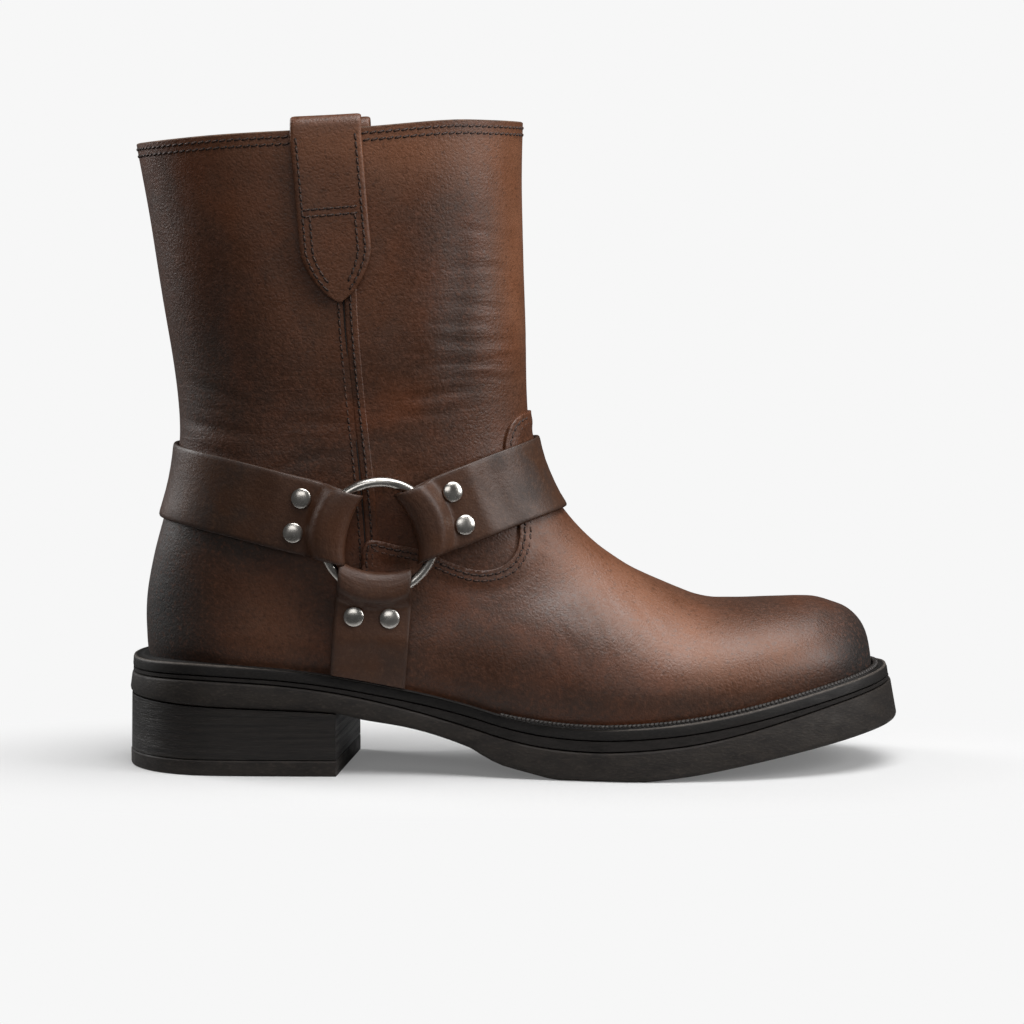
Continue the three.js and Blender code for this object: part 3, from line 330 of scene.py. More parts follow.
shaft_curve = Curve([(-0.6, -0.2), (0.0, 0.0), (0.25, 0.38), (0.6, 0.76), (1.0, 1.0)])
SHAFT_CENTRE = -2.0


def body_at(x, z, grow):
    shaft = smooth(TOE_BOX - 8, THROAT - 14, z)
    up = shaft_curve((z - THROAT) / (COLLAR - THROAT))
    shaft_half = mix(ANKLE_WIDTH, COLLAR_WIDTH, up) / 2
    above = np.clip((z - seat(x)) / 14, 0, 1)
    toe = round_end(x_at(TOE_TIP) + grow - x, SOLE_LENGTH * (TOE_ROUND - (1 - TOE_TIP)), TOE_POWER)
    foot = (plan_half(x) - flare(x) - margin(x) + UPPER_BULGE * np.sin(above * np.pi / 2)) * toe
    half = mix(foot, shaft_half, shaft) + grow * np.sqrt(toe)
    return mix(plan_centre(x), SHAFT_CENTRE, shaft), half, 1 - shaft


def upper_points(line, along, side, grow):
    x = mix(line["back_x"], line["front_x"], along)
    z = mix(line["back_z"], line["front_z"], along)
    centre, half, foot = body_at(x, z, grow)
    rounded = round_end(along, line["back_round"], line["back_power"])
    rounded = rounded * round_end(1 - along, line["front_round"], line["front_power"])
    return np.stack([x, centre + INSTEP_LEAN * foot * along**3 + side * half * rounded, z], axis=-1)


LINE_STEPS = 240
line_cache = {}


def face_at(x, z, side, grow=0.0):
    """How far out the upper's face is at places of the side view, or NaN outside it."""
    key = round(float(grow), 4)
    if key not in line_cache:
        line_cache[key] = section_lines(np.arange(LINE_STEPS + 1) / LINE_STEPS, key)
    lines = line_cache[key]
    x = np.atleast_1d(np.asarray(x, float))
    z = np.atleast_1d(np.asarray(z, float))
    span_x = lines["front_x"] - lines["back_x"]
    span_z = lines["front_z"] - lines["back_z"]
    off = span_x * (z[:, None] - lines["back_z"]) - span_z * (x[:, None] - lines["back_x"])
    reach = span_x**2 + span_z**2
    along = ((x[:, None] - lines["back_x"]) * span_x + (z[:, None] - lines["back_z"]) * span_z) / reach
    middle = (along[:, :-1] + along[:, 1:]) / 2
    crossing = (off[:, :-1] < 0) & (off[:, 1:] >= 0) & (middle > -0.02) & (middle < 1.02)
    found = crossing.any(axis=1)
    i = np.argmax(crossing, axis=1)
    rows = np.arange(len(x))
    before = off[rows, i]
    after = off[rows, i + 1]
    t = np.where(found, before / np.where(found, before - after, 1), 0)
    line = {name: mix(values[i], values[i + 1], t) for name, values in lines.items()}
    line_x = line["front_x"] - line["back_x"]
    line_z = line["front_z"] - line["back_z"]
    share = ((x - line["back_x"]) * line_x + (z - line["back_z"]) * line_z) / (line_x**2 + line_z**2)
    inside = found & (share > 0) & (share < 1)
    y = upper_points(line, np.clip(share, 0, 1), side, grow)[:, 1]
    return np.where(inside, y, np.nan)


def cover_at(x):
    return VAMP_THICK * smooth(0.215, 0.285, share_of(x))


def bed_at(x, z, side, gap=0.0):
    """The face that the harness lies on: the vamp over the foot, and the bare shaft behind it."""
    x = np.atleast_1d(np.asarray(x, float))
    z = np.atleast_1d(np.asarray(z, float))
    share = cover_at(x) / VAMP_THICK
    bare = face_at(x, z, side, gap)
    covered = face_at(x, z, side, VAMP_THICK + gap)
    return np.where(share <= 0, bare, np.where(share >= 1, covered, mix(bare, covered, share)))


rim_curve = Curve([(0.0, 0.955), (0.13, 0.973), (0.31, 0.987), (0.42, 1.0), (0.48, 0.9995), (0.54, 0.9955)])


def rim_height(x):
    return mix(HEEL_SEAT, COLLAR, rim_curve(share_of(x)))


# The vamp's edge: share of the length, share of the height from the ball to the throat
VAMP_OUTLINE = [
    (0.56, 1.005), (0.523, 1.0), (0.505, 0.985), (0.495, 0.952), (0.4895, 0.89), (0.496, 0.78), (0.507, 0.66),
    (0.506, 0.58), (0.496, 0.53), (0.478, 0.505), (0.452, 0.5), (0.42, 0.525), (0.39, 0.56), (0.35, 0.585),
    (0.312, 0.595), (0.308, 0.42), (0.3, 0.1), (0.296, -0.4),
]

# Meshes


def new_object(name, points, faces, material):
    mesh = bpy.data.meshes.new(name)
    corners = [tuple(map(int, face)) for face in faces]
    mesh.from_pydata((np.asarray(points, float) / 1000).tolist(), [], corners)
    mesh.validate()
    mesh.polygons.foreach_set("use_smooth", np.ones(len(mesh.polygons), bool))
    mesh.materials.append(material)
    obj = bpy.data.objects.new(name, mesh)
    bpy.context.collection.objects.link(obj)
    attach(obj, "root")
    return obj


def set_attribute(obj, name, values):
    attribute = obj.data.attributes.new(name, "FLOAT", "POINT")
    attribute.data.foreach_set("value", np.asarray(values, np.float32))


def grid_faces(rows, columns, around=False, start=0):
    """Quads of a grid of points, row by row. A grid that goes around joins its last column to its first."""
    r = np.arange(rows - 1)[:, None]
    wide = columns if around else columns - 1
    c = np.arange(wide)[None, :]
    a = start + r * columns + c
    b = start + r * columns + (c + 1) % columns
    d = start + (r + 1) * columns + c
    e = start + (r + 1) * columns + (c + 1) % columns
    return np.stack([a, b, e, d], axis=-1).reshape(-1, 4)


def clip_mesh(points, faces, field, extras=()):
    """Keeps the part of a mesh where the field isn't negative, cutting faces along its zero line."""
    points = np.asarray(points, float)
    field = np.asarray(field, float)
    kept = field >= 0
    inside = kept[faces].all(axis=1)
    outside = (~kept[faces]).all(axis=1)
    out_faces = [tuple(face) for face in faces[inside]]
    new_points = []
    new_extras = [[] for _ in extras]
    made = {}
    border = []
    for face in faces[~inside & ~outside]:
        ring = []
        cut = []
        for a, b in zip(face, np.roll(face, -1)):
            if kept[a]:
                ring.append(int(a))
            if kept[a] != kept[b]:
                key = (min(a, b), max(a, b))
                if key not in made:
                    t = field[key[0]] / (field[key[0]] - field[key[1]])
                    made[key] = len(points) + len(new_points)
                    new_points.append(mix(points[key[0]], points[key[1]], t))
                    for store, values in zip(new_extras, extras):
                        store.append(mix(values[key[0]], values[key[1]], t))
                ring.append(made[key])
                cut.append(made[key])
        if len(ring) >= 3:
            out_faces.append(tuple(ring))
        if len(cut) == 2:
            border.append((ring, cut))
    all_points = np.vstack([points, np.array(new_points).reshape(-1, 3)]) if new_points else points
    all_extras = [np.concatenate([values, np.array(store)]) if store else values
                  for values, store in zip(extras, new_extras)]
    used = np.unique(np.concatenate([np.array(face) for face in out_faces]))
    renumber = np.full(len(all_points), -1)
    renumber[used] = np.arange(len(used))
    out_faces = [tuple(renumber[list(face)]) for face in out_faces]
    edges = [(renumber[cut[0]], renumber[cut[1]], tuple(renumber[list(ring)])) for ring, cut in border]
    return all_points[used], out_faces, [values[used] for values in all_extras], edges


def grid_normals(grid):
    """Outward normals of a closed ring grid of points (rows, columns, 3)."""
    across = np.roll(grid, -1, axis=1) - np.roll(grid, 1, axis=1)
    down = np.gradient(grid, axis=0)
    normal = np.cross(down, across)
    length = np.linalg.norm(normal, axis=2, keepdims=True)
    return normal / np.maximum(length, 1e-9)


# Materials


def tint(code):
    values = [int(code[i:i + 2], 16) / 255 for i in (0, 2, 4)]
    return (*[((v + 0.055) / 1.055) ** 2.4 if v > 0.04 else v / 12.92 for v in values], 1)


class Finish:
    """A material whose colour, gloss and relief come from its nodes."""

    def __init__(self, name, **sockets):
        self.material = bpy.data.materials.new(name)
        self.material.use_nodes = True
        self.tree = self.material.node_tree
        self.shader = self.tree.nodes["Principled BSDF"]
        for socket, value in sockets.items():
            self.shader.inputs[socket.replace("_", " ")].default_value = value
        self.place = self.node("TexCoord").outputs["Object"]

    def node(self, kind, inputs=None, **settings):
        item = self.tree.nodes.new("ShaderNode" + kind)
        for key, value in settings.items():
            setattr(item, key, value)
        for key, value in (inputs or {}).items():
            self.feed(item.inputs[key], value)
        return item

    def feed(self, socket, value):
        if isinstance(value, bpy.types.NodeSocket):
            self.tree.links.new(value, socket)
        else:
            socket.default_value = value

    def stretched(self, scale, turn=0.0, source=None):
        turned = self.place if source is None else source
        if turn:
            rotation = (0, math.radians(turn), 0)
            turned = self.node("Mapping", {"Vector": turned, "Rotation": rotation}).outputs[0]
        return self.node("Mapping", {"Vector": turned, "Scale": scale}).outputs[0]

    def noise(self, scale, detail=4.0, vector=None, distortion=0.0):
        source = self.place if vector is None else vector
        inputs = {"Vector": source, "Scale": scale, "Detail": detail, "Distortion": distortion}
        return self.node("TexNoise", inputs).outputs["Fac"]

    def cells(self, scale):
        return self.node("TexVoronoi", {"Vector": self.place, "Scale": scale}).outputs["Distance"]

    def ramp(self, value, low, high, first=0.0, last=1.0):
        inputs = {"Value": value, "From Min": low, "From Max": high, "To Min": first, "To Max": last}
        return self.node("MapRange", inputs).outputs["Result"]

    def sum(self, a, b, kind="ADD", clamp=False):
        return self.node("Math", {0: a, 1: b}, operation=kind, use_clamp=clamp).outputs[0]

    def times(self, a, b):
        return self.sum(a, b, "MULTIPLY")

    def blend(self, share, a, b):
        item = self.node("Mix", data_type="RGBA")
        for k, value in ((0, share), (6, a), (7, b)):
            self.feed(item.inputs[k], value)
        return item.outputs[2]

    def attribute(self, name):
        return self.node("Attribute", attribute_name=name).outputs["Fac"]

    def close(self, colour, roughness, height, depth):
        bump = self.node("Bump", {"Height": height, "Strength": 1.0, "Distance": depth})
        self.feed(self.shader.inputs["Base Color"], colour)
        self.feed(self.shader.inputs["Roughness"], roughness)
        self.feed(self.shader.inputs["Normal"], bump.outputs[0])
        return self.material


def upper_finish():
    """Oiled pull-up leather, darker at the stiff heel and toe and lighter where rubbed; its colour also holds
    painted shade under and above the heel strap, under the ring and in the creases, and painted sheen on the
    vamp, the toe and the front of the shaft.
    """
    f = Finish("upper_leather", Specular_IOR_Level=0.42, Coat_Weight=0.13, Coat_Roughness=0.38)
    patches = f.noise(15, 5, distortion=0.9)
    warm = f.noise(27, 4, distortion=0.6)
    mottle = f.noise(70, 6)
    speckle = f.noise(640, 4)
    colour = f.blend(f.ramp(patches, 0.36, 0.64), tint("40220f"), tint("4b2914"))
    colour = f.blend(f.ramp(warm, 0.5, 0.72, 0, 0.8), colour, tint("60331a"))
    colour = f.blend(f.ramp(mottle, 0.44, 0.76, 0, 0.6), colour, tint("2f1e13"))
    # Lighter tone of the leather, with painted sheen and highlights on the vamp, the toe and the front of the
    # shaft.
    light = f.times(f.attribute("tan"), f.ramp(mottle, 0.25, 0.7, 0.6, 1.0))
    colour = f.blend(light, colour, tint("7c4e33"))
    # Darker tone and burnish of the leather, with painted shade under and above the heel strap, under the ring
    # and along the instep.
    dark_and_shade = f.times(f.attribute("dark_and_shade"), f.ramp(mottle, 0.2, 0.75, 0.75, 1.0))
    colour = f.blend(dark_and_shade, colour, tint("2b1f17"))
    # Charcoal burnish at the heel and toe, with painted shade under the heel strap and along the instep and the
    # vamp's top.
    colour = f.blend(f.times(f.attribute("black_and_shade"), 0.94), colour, tint("191615"))
    # Painted shade in the creases' troughs.
    colour = f.blend(f.ramp(f.attribute("painted_crease_shade"), 0.1, 1.0, 0.0, 0.4), colour, tint("180e08"))
    colour = f.blend(f.ramp(speckle, 0.52, 0.76, 0, 0.4), colour, tint("6c4029"))
    colour = f.blend(f.ramp(speckle, 0.45, 0.28, 0, 0.4), colour, tint("1a0f09"))
    wavy = f.noise(1, 3, f.stretched((45, 45, 330)), 0.8)
    slant = f.noise(1, 3, f.stretched((50, 50, 330), 48), 0.8)
    wavy = f.times(f.ramp(wavy, 0.35, 0.65), f.attribute("wavy"))
    slant = f.times(f.ramp(slant, 0.35, 0.65), f.attribute("slant"))
    net = f.node("TexVoronoi", {"Vector": f.place, "Scale": 620.0}, feature="DISTANCE_TO_EDGE")
    net = f.times(f.ramp(net.outputs["Distance"], 0.0, 0.3), 0.3)
    grain = f.sum(net, f.times(f.noise(900, 5), 0.9))
    height = f.sum(f.times(f.sum(wavy, slant), 0.6), f.sum(grain, f.times(f.noise(210, 4), 0.9)))
    rough = f.sum(f.ramp(mottle, 0.3, 0.7, 0.41, 0.54), f.ramp(speckle, 0.3, 0.7, -0.07, 0.08))
    rough = f.sum(rough, f.times(f.attribute("dark_and_shade"), 0.14))
    return f.close(colour, rough, height, 0.00017)


def strap_finish():
    """Smooth strap leather, with fine ribs where it bends round the rings."""
    f = Finish("strap_leather", Specular_IOR_Level=0.4, Coat_Weight=0.1, Coat_Roughness=0.36)
    mottle = f.noise(85, 6, distortion=0.5)
    broad = f.noise(24, 4, distortion=0.5)
    speckle = f.noise(620, 4)
    colour = f.blend(f.ramp(mottle, 0.35, 0.68), tint("3f2616"), tint("2f1f16"))
    colour = f.blend(f.ramp(broad, 0.48, 0.7, 0, 0.6), colour, tint("4a2b18"))
    colour = f.blend(f.times(f.attribute("worn"), 0.45), colour, tint("50301d"))
    colour = f.blend(f.ramp(speckle, 0.5, 0.74, 0, 0.35), colour, tint("5f412d"))
    colour = f.blend(f.times(f.attribute("fold"), 0.35), colour, tint("4f2e1c"))
    colour = f.blend(f.times(f.attribute("edge"), 0.35), colour, tint("1d120c"))
    strip = f.node("CombineXYZ", {0: f.attribute("along"), 1: f.attribute("across")}).outputs[0]
    ribs = f.noise(1, 3, f.stretched((0.6, 0.09, 1), 0, strip), 0.4)
    ribs = f.times(f.ramp(ribs, 0.3, 0.7), f.attribute("fold"))
    grain = f.sum(f.times(f.cells(1200), 0.3), f.times(f.noise(540, 5), 0.9))
    height = f.sum(f.times(ribs, 0.8), grain)
    rough = f.ramp(mottle, 0.3, 0.7, 0.44, 0.58)
    return f.close(colour, rough, height, 0.00016)


def mottled(name, colours, scale, stretch=(1, 1, 1), roughness=(0.5, 0.7), depth=0.0001, edge=None,
            **sockets):
    """A finish of three colours in uneven patches, with relief that may be drawn out into grooves."""
    f = Finish(name, **sockets)
    drawn = f.stretched(stretch)
    broad = f.noise(scale, 5, drawn)
    fine = f.noise(scale * 6, 5, drawn)
    colour = f.blend(f.ramp(broad, 0.35, 0.65), tint(colours[0]), tint(colours[1]))
    colour = f.blend(f.ramp(fine, 0.52, 0.75, 0, 0.6), colour, tint(colours[2]))
    if edge is not None:
        share = f.times(f.attribute("edge"), f.ramp(fine, 0.3, 0.7, 0.4, 1.0))
        colour = f.blend(share, colour, tint(edge))
    rough = f.ramp(broad, 0.3, 0.7, *roughness)
    return f.close(colour, rough, f.sum(f.times(broad, 0.6), fine), depth)


leather = upper_finish()
strap_leather = strap_finish()
lining_leather = mottled(
    "lining_leather", ("7d5a3c", "694a31", "8f6c4d"), 60, roughness=(0.7, 0.85), edge="2c1a10"
)
insole_leather = mottled("insole_leather", ("9c7350", "845c3e", "b28a66"), 45, roughness=(0.65, 0.8))
dull = {"Specular_IOR_Level": 0.28}
sole_dark = mottled(
    "sole_rubber", ("26211d", "1c1816", "38312b"), 90, (1, 1, 2.5), (0.55, 0.75), 0.00016, **dull
)
# The lighter colour along the welt's top outer edge is a painted highlight.
welt_dark = mottled(
    "welt_leather", ("1a1715", "131110", "2a2623"), 110, (1, 1, 3), (0.5, 0.68), edge="57504a", **dull
)
midsole_dark = mottled(
    "midsole_board", ("1f1b19", "171412", "2c2825"), 140, (1, 1, 4), (0.6, 0.8), **dull
)
heel_dark = mottled(
    "heel_leather", ("1c1815", "120f0e", "2e2722"), 22, (1, 1, 34), (0.45, 0.66), 0.00022, **dull
)
thread = mottled("thread", ("4d2d1c", "331d12", "6b4630"), 700)
# Painted shade for the stitch holes: deep brown capsules that show past the threads' ends.
hole_shade = mottled("stitch_hole_shade", ("140c08", "0e0806", "1c110c"), 500, roughness=(0.7, 0.9))
bead_thread = mottled("bead_thread", ("201a17", "120f0d", "5a4f47"), 420, roughness=(0.45, 0.65))
seam_dark = mottled("seam_shadow", ("120c09", "1a110d", "20150f"), 300, roughness=(0.7, 0.9))
metal = {"roughness": (0.2, 0.34), "depth": 0.00002, "Metallic": 1.0}
nickel = mottled("nickel", ("c4bfb8", "d2cec8", "aaa59f"), 160, **metal)

# The upper


def even_sections(first, last, count):
    """Places over the sections that are evenly spaced along the boot's outline."""
    at = np.linspace(first, last, 2000)
    line = section_lines(at, 0)
    back = np.hypot(np.diff(line["back_x"]), np.diff(line["back_z"]))
    front = np.hypot(np.diff(line["front_x"]), np.diff(line["front_z"]))
    travel = np.concatenate([[0], np.cumsum((back + front) / 2)])
    return np.interp(np.linspace(0, travel[-1], count), travel, at)


RIM_SECTION = 1 / 31
SKIN_STEPS = 146


def upper_grid(grow, sections, first=RIM_SECTION, rim=True):
    """Rings of points over the upper, from the rim to the toe: down the outer side, up the inner side."""
    at = even_sections(first, 1.0, sections)
    line = section_lines(at, grow)
    line = {name: values[:, None] for name, values in line.items()}
    along = crowd(np.arange(SKIN_STEPS + 1) / SKIN_STEPS)[None, :]
    lateral = upper_points(line, along, -1, grow)
    medial = upper_points(line, along, 1, grow)
    grid = np.concatenate([lateral, medial[:, -2:0:-1]], axis=1)
    if rim:
        top = grid[0]
        rise = rim_height(top[:, 0]) - top[:, 2]
        fade = 1 - smooth(RIM_SECTION, 0.16, at)
        grid[:, :, 2] += fade[:, None] * rise[None, :]
    return grid


# Creases in the side view: from x, z to x, z, depth, width
CREASES = [
    (-34, 173, 5, 169, 0.35, 2.6), (-42, 161, 1, 164, 0.4, 2.4), (-30, 187, 3, 184, 0.25, 2.4),
    (-46, 150, -8, 153, 0.5, 2.6), (-28, 201, 3, 198, 0.3, 2.4), (-22, 215, 3, 212, 0.25, 2.2),
    (-36, 180, -6, 177, 0.3, 1.8), (-24, 157, 2, 156, 0.35, 2.0), (-46, 141, -18, 146, 0.35, 2.4),
    (-132, 141, -98, 134, 0.5, 3.2), (-132, 129, -104, 124, 0.45, 3.0), (-130, 154, -100, 148, 0.35, 3.4),
    (-134, 118, -112, 114, 0.4, 2.6), (-96, 122, -70, 127, 0.35, 3.2), (-92, 138, -62, 141, 0.3, 3.4),
    (15, 67, 30, 40, 0.2, 2.0), (23, 75, 42, 44, 0.28, 2.0), (33, 75, 54, 48, 0.22, 2.0),
    (46, 71, 63, 50, 0.16, 1.9), (8, 58, 21, 35, 0.22, 2.0), (28, 62, 44, 38, 0.18, 1.6),
    (2, 100, 22, 84, 0.3, 2.6), (10, 112, 30, 95, 0.3, 2.6), (-24, 224, -21, 152, 0.7, 9.0),
    (-115, 226, -109, 160, 0.8, 11.0), (-88, 214, -84, 168, 0.4, 8.0),
]
# Colour spots in the side view: x, z, half length, half height, turn in degrees, strength
# Darker spots: the leather's darker tone on the shaft, its burnish at the heel and toe, darker near the welt,
# and painted shade under and above the heel strap, under the ring and along the instep.
DARK_AND_SHADE = [
    (-118, 158, 22, 28, 0, 0.75), (-24, 192, 9, 50, 0, 0.5), (-137, 62, 20, 34, 0, 1.0),
    (-104, 92, 34, 7, -16, 0.9), (146, 45, 15, 20, 0, 0.95), (60, 31, 70, 6, 0, 0.5),
    (18, 118, 12, 16, 40, 0.45), (-52, 60, 14, 26, 0, 0.4), (-100, 40, 34, 7, 0, 0.5), (0, 30, 30, 8, 0, 0.4),
    (-60, 128, 36, 7, 0, 0.35), (100, 66, 12, 5, 0, 0.3),
]
# Charcoal spots: burnish at the heel counter, the heel's back and the toe tip, and painted shade under the heel
# strap and along the instep and the vamp's top.
BLACK_AND_SHADE = [
    (-141, 66, 13, 34, 0, 0.95), (-122, 93, 18, 5, -16, 0.4), (140, 44, 17, 24, 0, 1.0),
    (-128, 34, 26, 6, 0, 0.5), (24, 112, 8, 22, 38, 0.4), (80, 74, 30, 6, -16, 0.45), (-150, 160, 9, 60, 8, 0.2),
]
# Lighter spots: the leather's lighter tone near the rim and on the heel's side, and painted sheen and highlights
# on the vamp, the toe and the front of the shaft.
TAN_AND_SHEEN = [
    (-2, 205, 8, 42, 0, 0.65), (-60, 249, 80, 8, 0, 0.6), (-30, 240, 40, 12, 0, 0.5), (4, 200, 6, 55, 0, 0.5),
    (44, 71, 44, 12, -36, 1.0), (108, 50, 20, 8, -5, 0.6),
    (-70, 200, 24, 40, 0, 0.28), (-94, 60, 16, 22, 0, 0.35), (74, 52, 26, 10, -10, 0.55),
    (-40, 84, 10, 14, 0, 0.3), (-105, 225, 24, 16, 0, 0.25),
]
WAVY = [(-14, 178, 24, 40, 0, 1.0), (-116, 140, 24, 22, 0, 0.7), (-70, 150, 60, 30, 0, 0.35)]
SLANT = [(30, 56, 24, 26, 0, 1.0), (14, 104, 14, 18, 0, 0.5), (80, 58, 30, 14, 0, 0.35)]


def spots(x, z, rows):
    total = np.zeros(np.shape(x))
    for at_x, at_z, wide, tall, turn, strength in rows:
        c, s = math.cos(math.radians(turn)), math.sin(math.radians(turn))
        u = ((x - at_x) * c + (z - at_z) * s) / wide
        v = ((z - at_z) * c - (x - at_x) * s) / tall
        total = total + strength * np.exp(-u * u - v * v)
    return np.clip(total, 0, 1)


def crease_parts(x, z):
    """How deep the creases' troughs are at places of the side view, and how high the ridges beside them."""
    trough = np.zeros(np.shape(x))
    ridge = np.zeros(np.shape(x))
    for k, (x0, z0, x1, z1, depth, width) in enumerate(CREASES):
        step = np.array([x1 - x0, z1 - z0], float)
        length = np.hypot(*step)
        along = ((x - x0) * step[0] + (z - z0) * step[1]) / length
        off = ((z - z0) * step[0] - (x - x0) * step[1]) / length
        off = off + 0.35 * width * np.sin(along / (2.6 * width) + 2.1 * k)
        fade = smooth(-0.1, 0.3, along / length) * smooth(1.1, 0.7, along / length)
        trough = trough + depth * fade * np.exp(-(off / (0.6 * width)) ** 2)
        ridge = ridge + 0.42 * depth * fade * np.exp(-((np.abs(off) - 1.25 * width) / (0.8 * width)) ** 2)
    return trough, ridge


def side_creases(x, z, side):
    """The creases at places of either side: the inner side's are shifted, so that the two aren't alike."""
    shift = np.where(side > 0, 5.0, 0.0)
    return crease_parts(x + shift, z - 0.6 * shift)


def wrinkles(x, z, side):
    """Soft troughs and ridges of the leather, outwards in millimetres."""
    trough, ridge = side_creases(x, z, side)
    swell = 0.22 * np.sin(x / 17 + z / 31) * np.sin(z / 23 - x / 41)
    return np.clip(0.6 * (ridge - trough) + swell, -1.0, 0.45)


def dress(obj):
    """Gives the leather's shader the places of its colours, of its painted shade and sheen, and of its wrinkles.
    """
    count = len(obj.data.vertices)
    places = np.empty(count * 3)
    obj.data.vertices.foreach_get("co", places)
    x, y, z = places.reshape(-1, 3).T * 1000
    # The colour spots carry the leather's own tone together with painted shade and painted sheen.
    for name, rows in (("dark_and_shade", DARK_AND_SHADE), ("black_and_shade", BLACK_AND_SHADE), ("tan", TAN_AND_SHEEN), ("wavy", WAVY), ("slant", SLANT)):
        set_attribute(obj, name, spots(x, z, rows))
    # Painted shade along the creases' troughs.
    set_attribute(obj, "painted_crease_shade", side_creases(x, z, y)[0] * 0.8)


BELOW_SEAT = 0.6
RIM_TURN = (0.0, 0.12, 0.35, 0.65, 0.88, 1.0)


def skin(grow, rows, **options):
    """A grid over the upper, its normals, and how far its wrinkles stand out."""
    grid = upper_grid(grow, rows, **options)
    side = np.where(np.arange(grid.shape[1]) <= SKIN_STEPS, -1, 1)[None, :]
    return grid, grid_normals(grid), wrinkles(grid[..., 0], grid[..., 2], side)


def make_upper():
    grid, normals, relief = skin(0.0, 270)
    grid = grid + normals * relief[..., None]
    points = grid.reshape(-1, 3)
    faces = grid_faces(*grid.shape[:2], around=True)
    low = points[:, 2] - (seat(points[:, 0]) - BELOW_SEAT)
    points, faces, _, _ = clip_mesh(points, faces, low)
    obj = new_object("upper_skin", points, faces, leather)
    dress(obj)
    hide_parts("upper")
    inner = upper_grid(-UPPER_THICK, 110)
    turn = []
    for share in RIM_TURN:
        row = mix(grid[0], inner[0], share)
        row[:, 2] += 0.5 * math.sin(math.pi * share) ** 0.5
        turn.append(row)
    inner = np.concatenate([np.array(turn), inner[1:]], axis=0)
    points = inner.reshape(-1, 3)
    faces = grid_faces(*inner.shape[:2], around=True)[:, ::-1]
    low = points[:, 2] - (seat(points[:, 0]) + 0.3)
    points, faces, _, _ = clip_mesh(points, faces, low)
    lining = new_object("lining", points, faces, lining_leather)
    set_attribute(lining, "edge", 1 - smooth(0.2, 1.2, rim_height(points[:, 0]) - points[:, 2]))
    return grid, normals


def outline_distance(x, z, outline):
    """Signed distance to an open outline in the side view, positive on its right going along it."""
    outline = np.asarray(outline, float)
    best = np.full(x.shape, 1e9)
    sign = np.ones(x.shape)
    for a, b in zip(outline[:-1], outline[1:]):
        step = b - a
        t = np.clip(((x - a[0]) * step[0] + (z - a[1]) * step[1]) / (step @ step), 0, 1)
        near = np.hypot(x - a[0] - t * step[0], z - a[1] - t * step[1])
        cross = step[0] * (z - a[1]) - step[1] * (x - a[0])
        closer = near < best
        best = np.where(closer, near, best)
        sign = np.where(closer, np.sign(cross), sign)
    return best * sign


def dense_outline(points, step=1.5):
    """A rounded open line through points, as many short steps."""
    points = np.asarray(points, float)
    at = travelled(points)
    cx = Curve(list(zip(at, points[:, 0])))
    cz = Curve(list(zip(at, points[:, 1])))
    where = np.linspace(0, at[-1], int(at[-1] / step) + 1)
    return np.stack([cx(where), cz(where)], axis=1)


vamp_line = dense_outline([(x_at(a), BALL_SEAT + u * (THROAT - BALL_SEAT)) for a, u in VAMP_OUTLINE])


def edge_wall(points, faces, edges, normals, depth):
    """Closes a sheet's cut edge with a rounded wall down to the surface under it."""
    points = list(points)
    made = {}

    def rows(k):
        if k not in made:
            n = normals[k]
            base = points[k]
            made[k] = (len(points), len(points) + 1)
            points.append(base - n * 0.3 * depth)
            points.append(base - n * depth)
        return made[k]

    out = list(faces)
    for a, b, ring in edges:
        order = list(ring)
        i = order.index(a)
        if order[(i + 1) % len(order)] != b:
            a, b = b, a
        a1, a2 = rows(a)
        b1, b2 = rows(b)
        out.append((b, a, a1, b1))
        out.append((b1, a1, a2, b2))
    return np.array(points), out


def make_vamp():
    grid, normals, relief = skin(VAMP_THICK, 240, first=0.12, rim=False)
    distance = outline_distance(grid[..., 0], grid[..., 2], vamp_line)
    swell = 0.3 * np.exp(-((distance - 4.0) / 1.7) ** 2) - 0.25 * np.exp(-((distance - 8.5) / 2.2) ** 2)
    points = (grid + normals * (relief + swell)[..., None]).reshape(-1, 3)
    faces = grid_faces(*grid.shape[:2], around=True)
    low = points[:, 2] - (seat(points[:, 0]) - BELOW_SEAT)
    points, faces, extras, _ = clip_mesh(points, faces, low, list(normals.reshape(-1, 3).T))
    distance = outline_distance(points[:, 0], points[:, 2], vamp_line)
    quads = [face for face in faces if len(face) == 4]
    for face in faces:
        if len(face) != 4:
            quads += [(face[0], face[k], face[k + 1], face[0]) for k in range(1, len(face) - 1)]
    points, faces, extras, edges = clip_mesh(points, np.array(quads), distance, extras)
    normals = np.stack(extras, axis=1)
    points, faces = edge_wall(points, faces, edges, normals, VAMP_THICK + 0.3)
    obj = new_object("vamp", points, faces, leather)
    dress(obj)


# Sole layers
OUTLINE_STEPS = 110


def sole_ring(inset, height):
    """A ring of points round the sole, inset from its widest edge, at a height worked out from x."""
    first = x_at(0) + float(inset(x_at(0)))
    last = x_at(1) - float(inset(x_at(1)))
    x = mix(first, last, crowd(np.arange(OUTLINE_STEPS + 1) / OUTLINE_STEPS))
    heel = round_end(x - first, SOLE_LENGTH * HEEL_ROUND - float(inset(first)), HEEL_POWER)
    toe = round_end(last - x, SOLE_LENGTH * TOE_ROUND - float(inset(last)), TOE_POWER)
    half = np.maximum(plan_half(x) - inset(x), 0) * heel * toe
    z = height(x) * np.ones_like(x)
    lateral = np.stack([x, plan_centre(x) - half, z], axis=1)
    medial = np.stack([x, plan_centre(x) + half, z], axis=1)
    return np.concatenate([lateral, medial[-2:0:-1]])


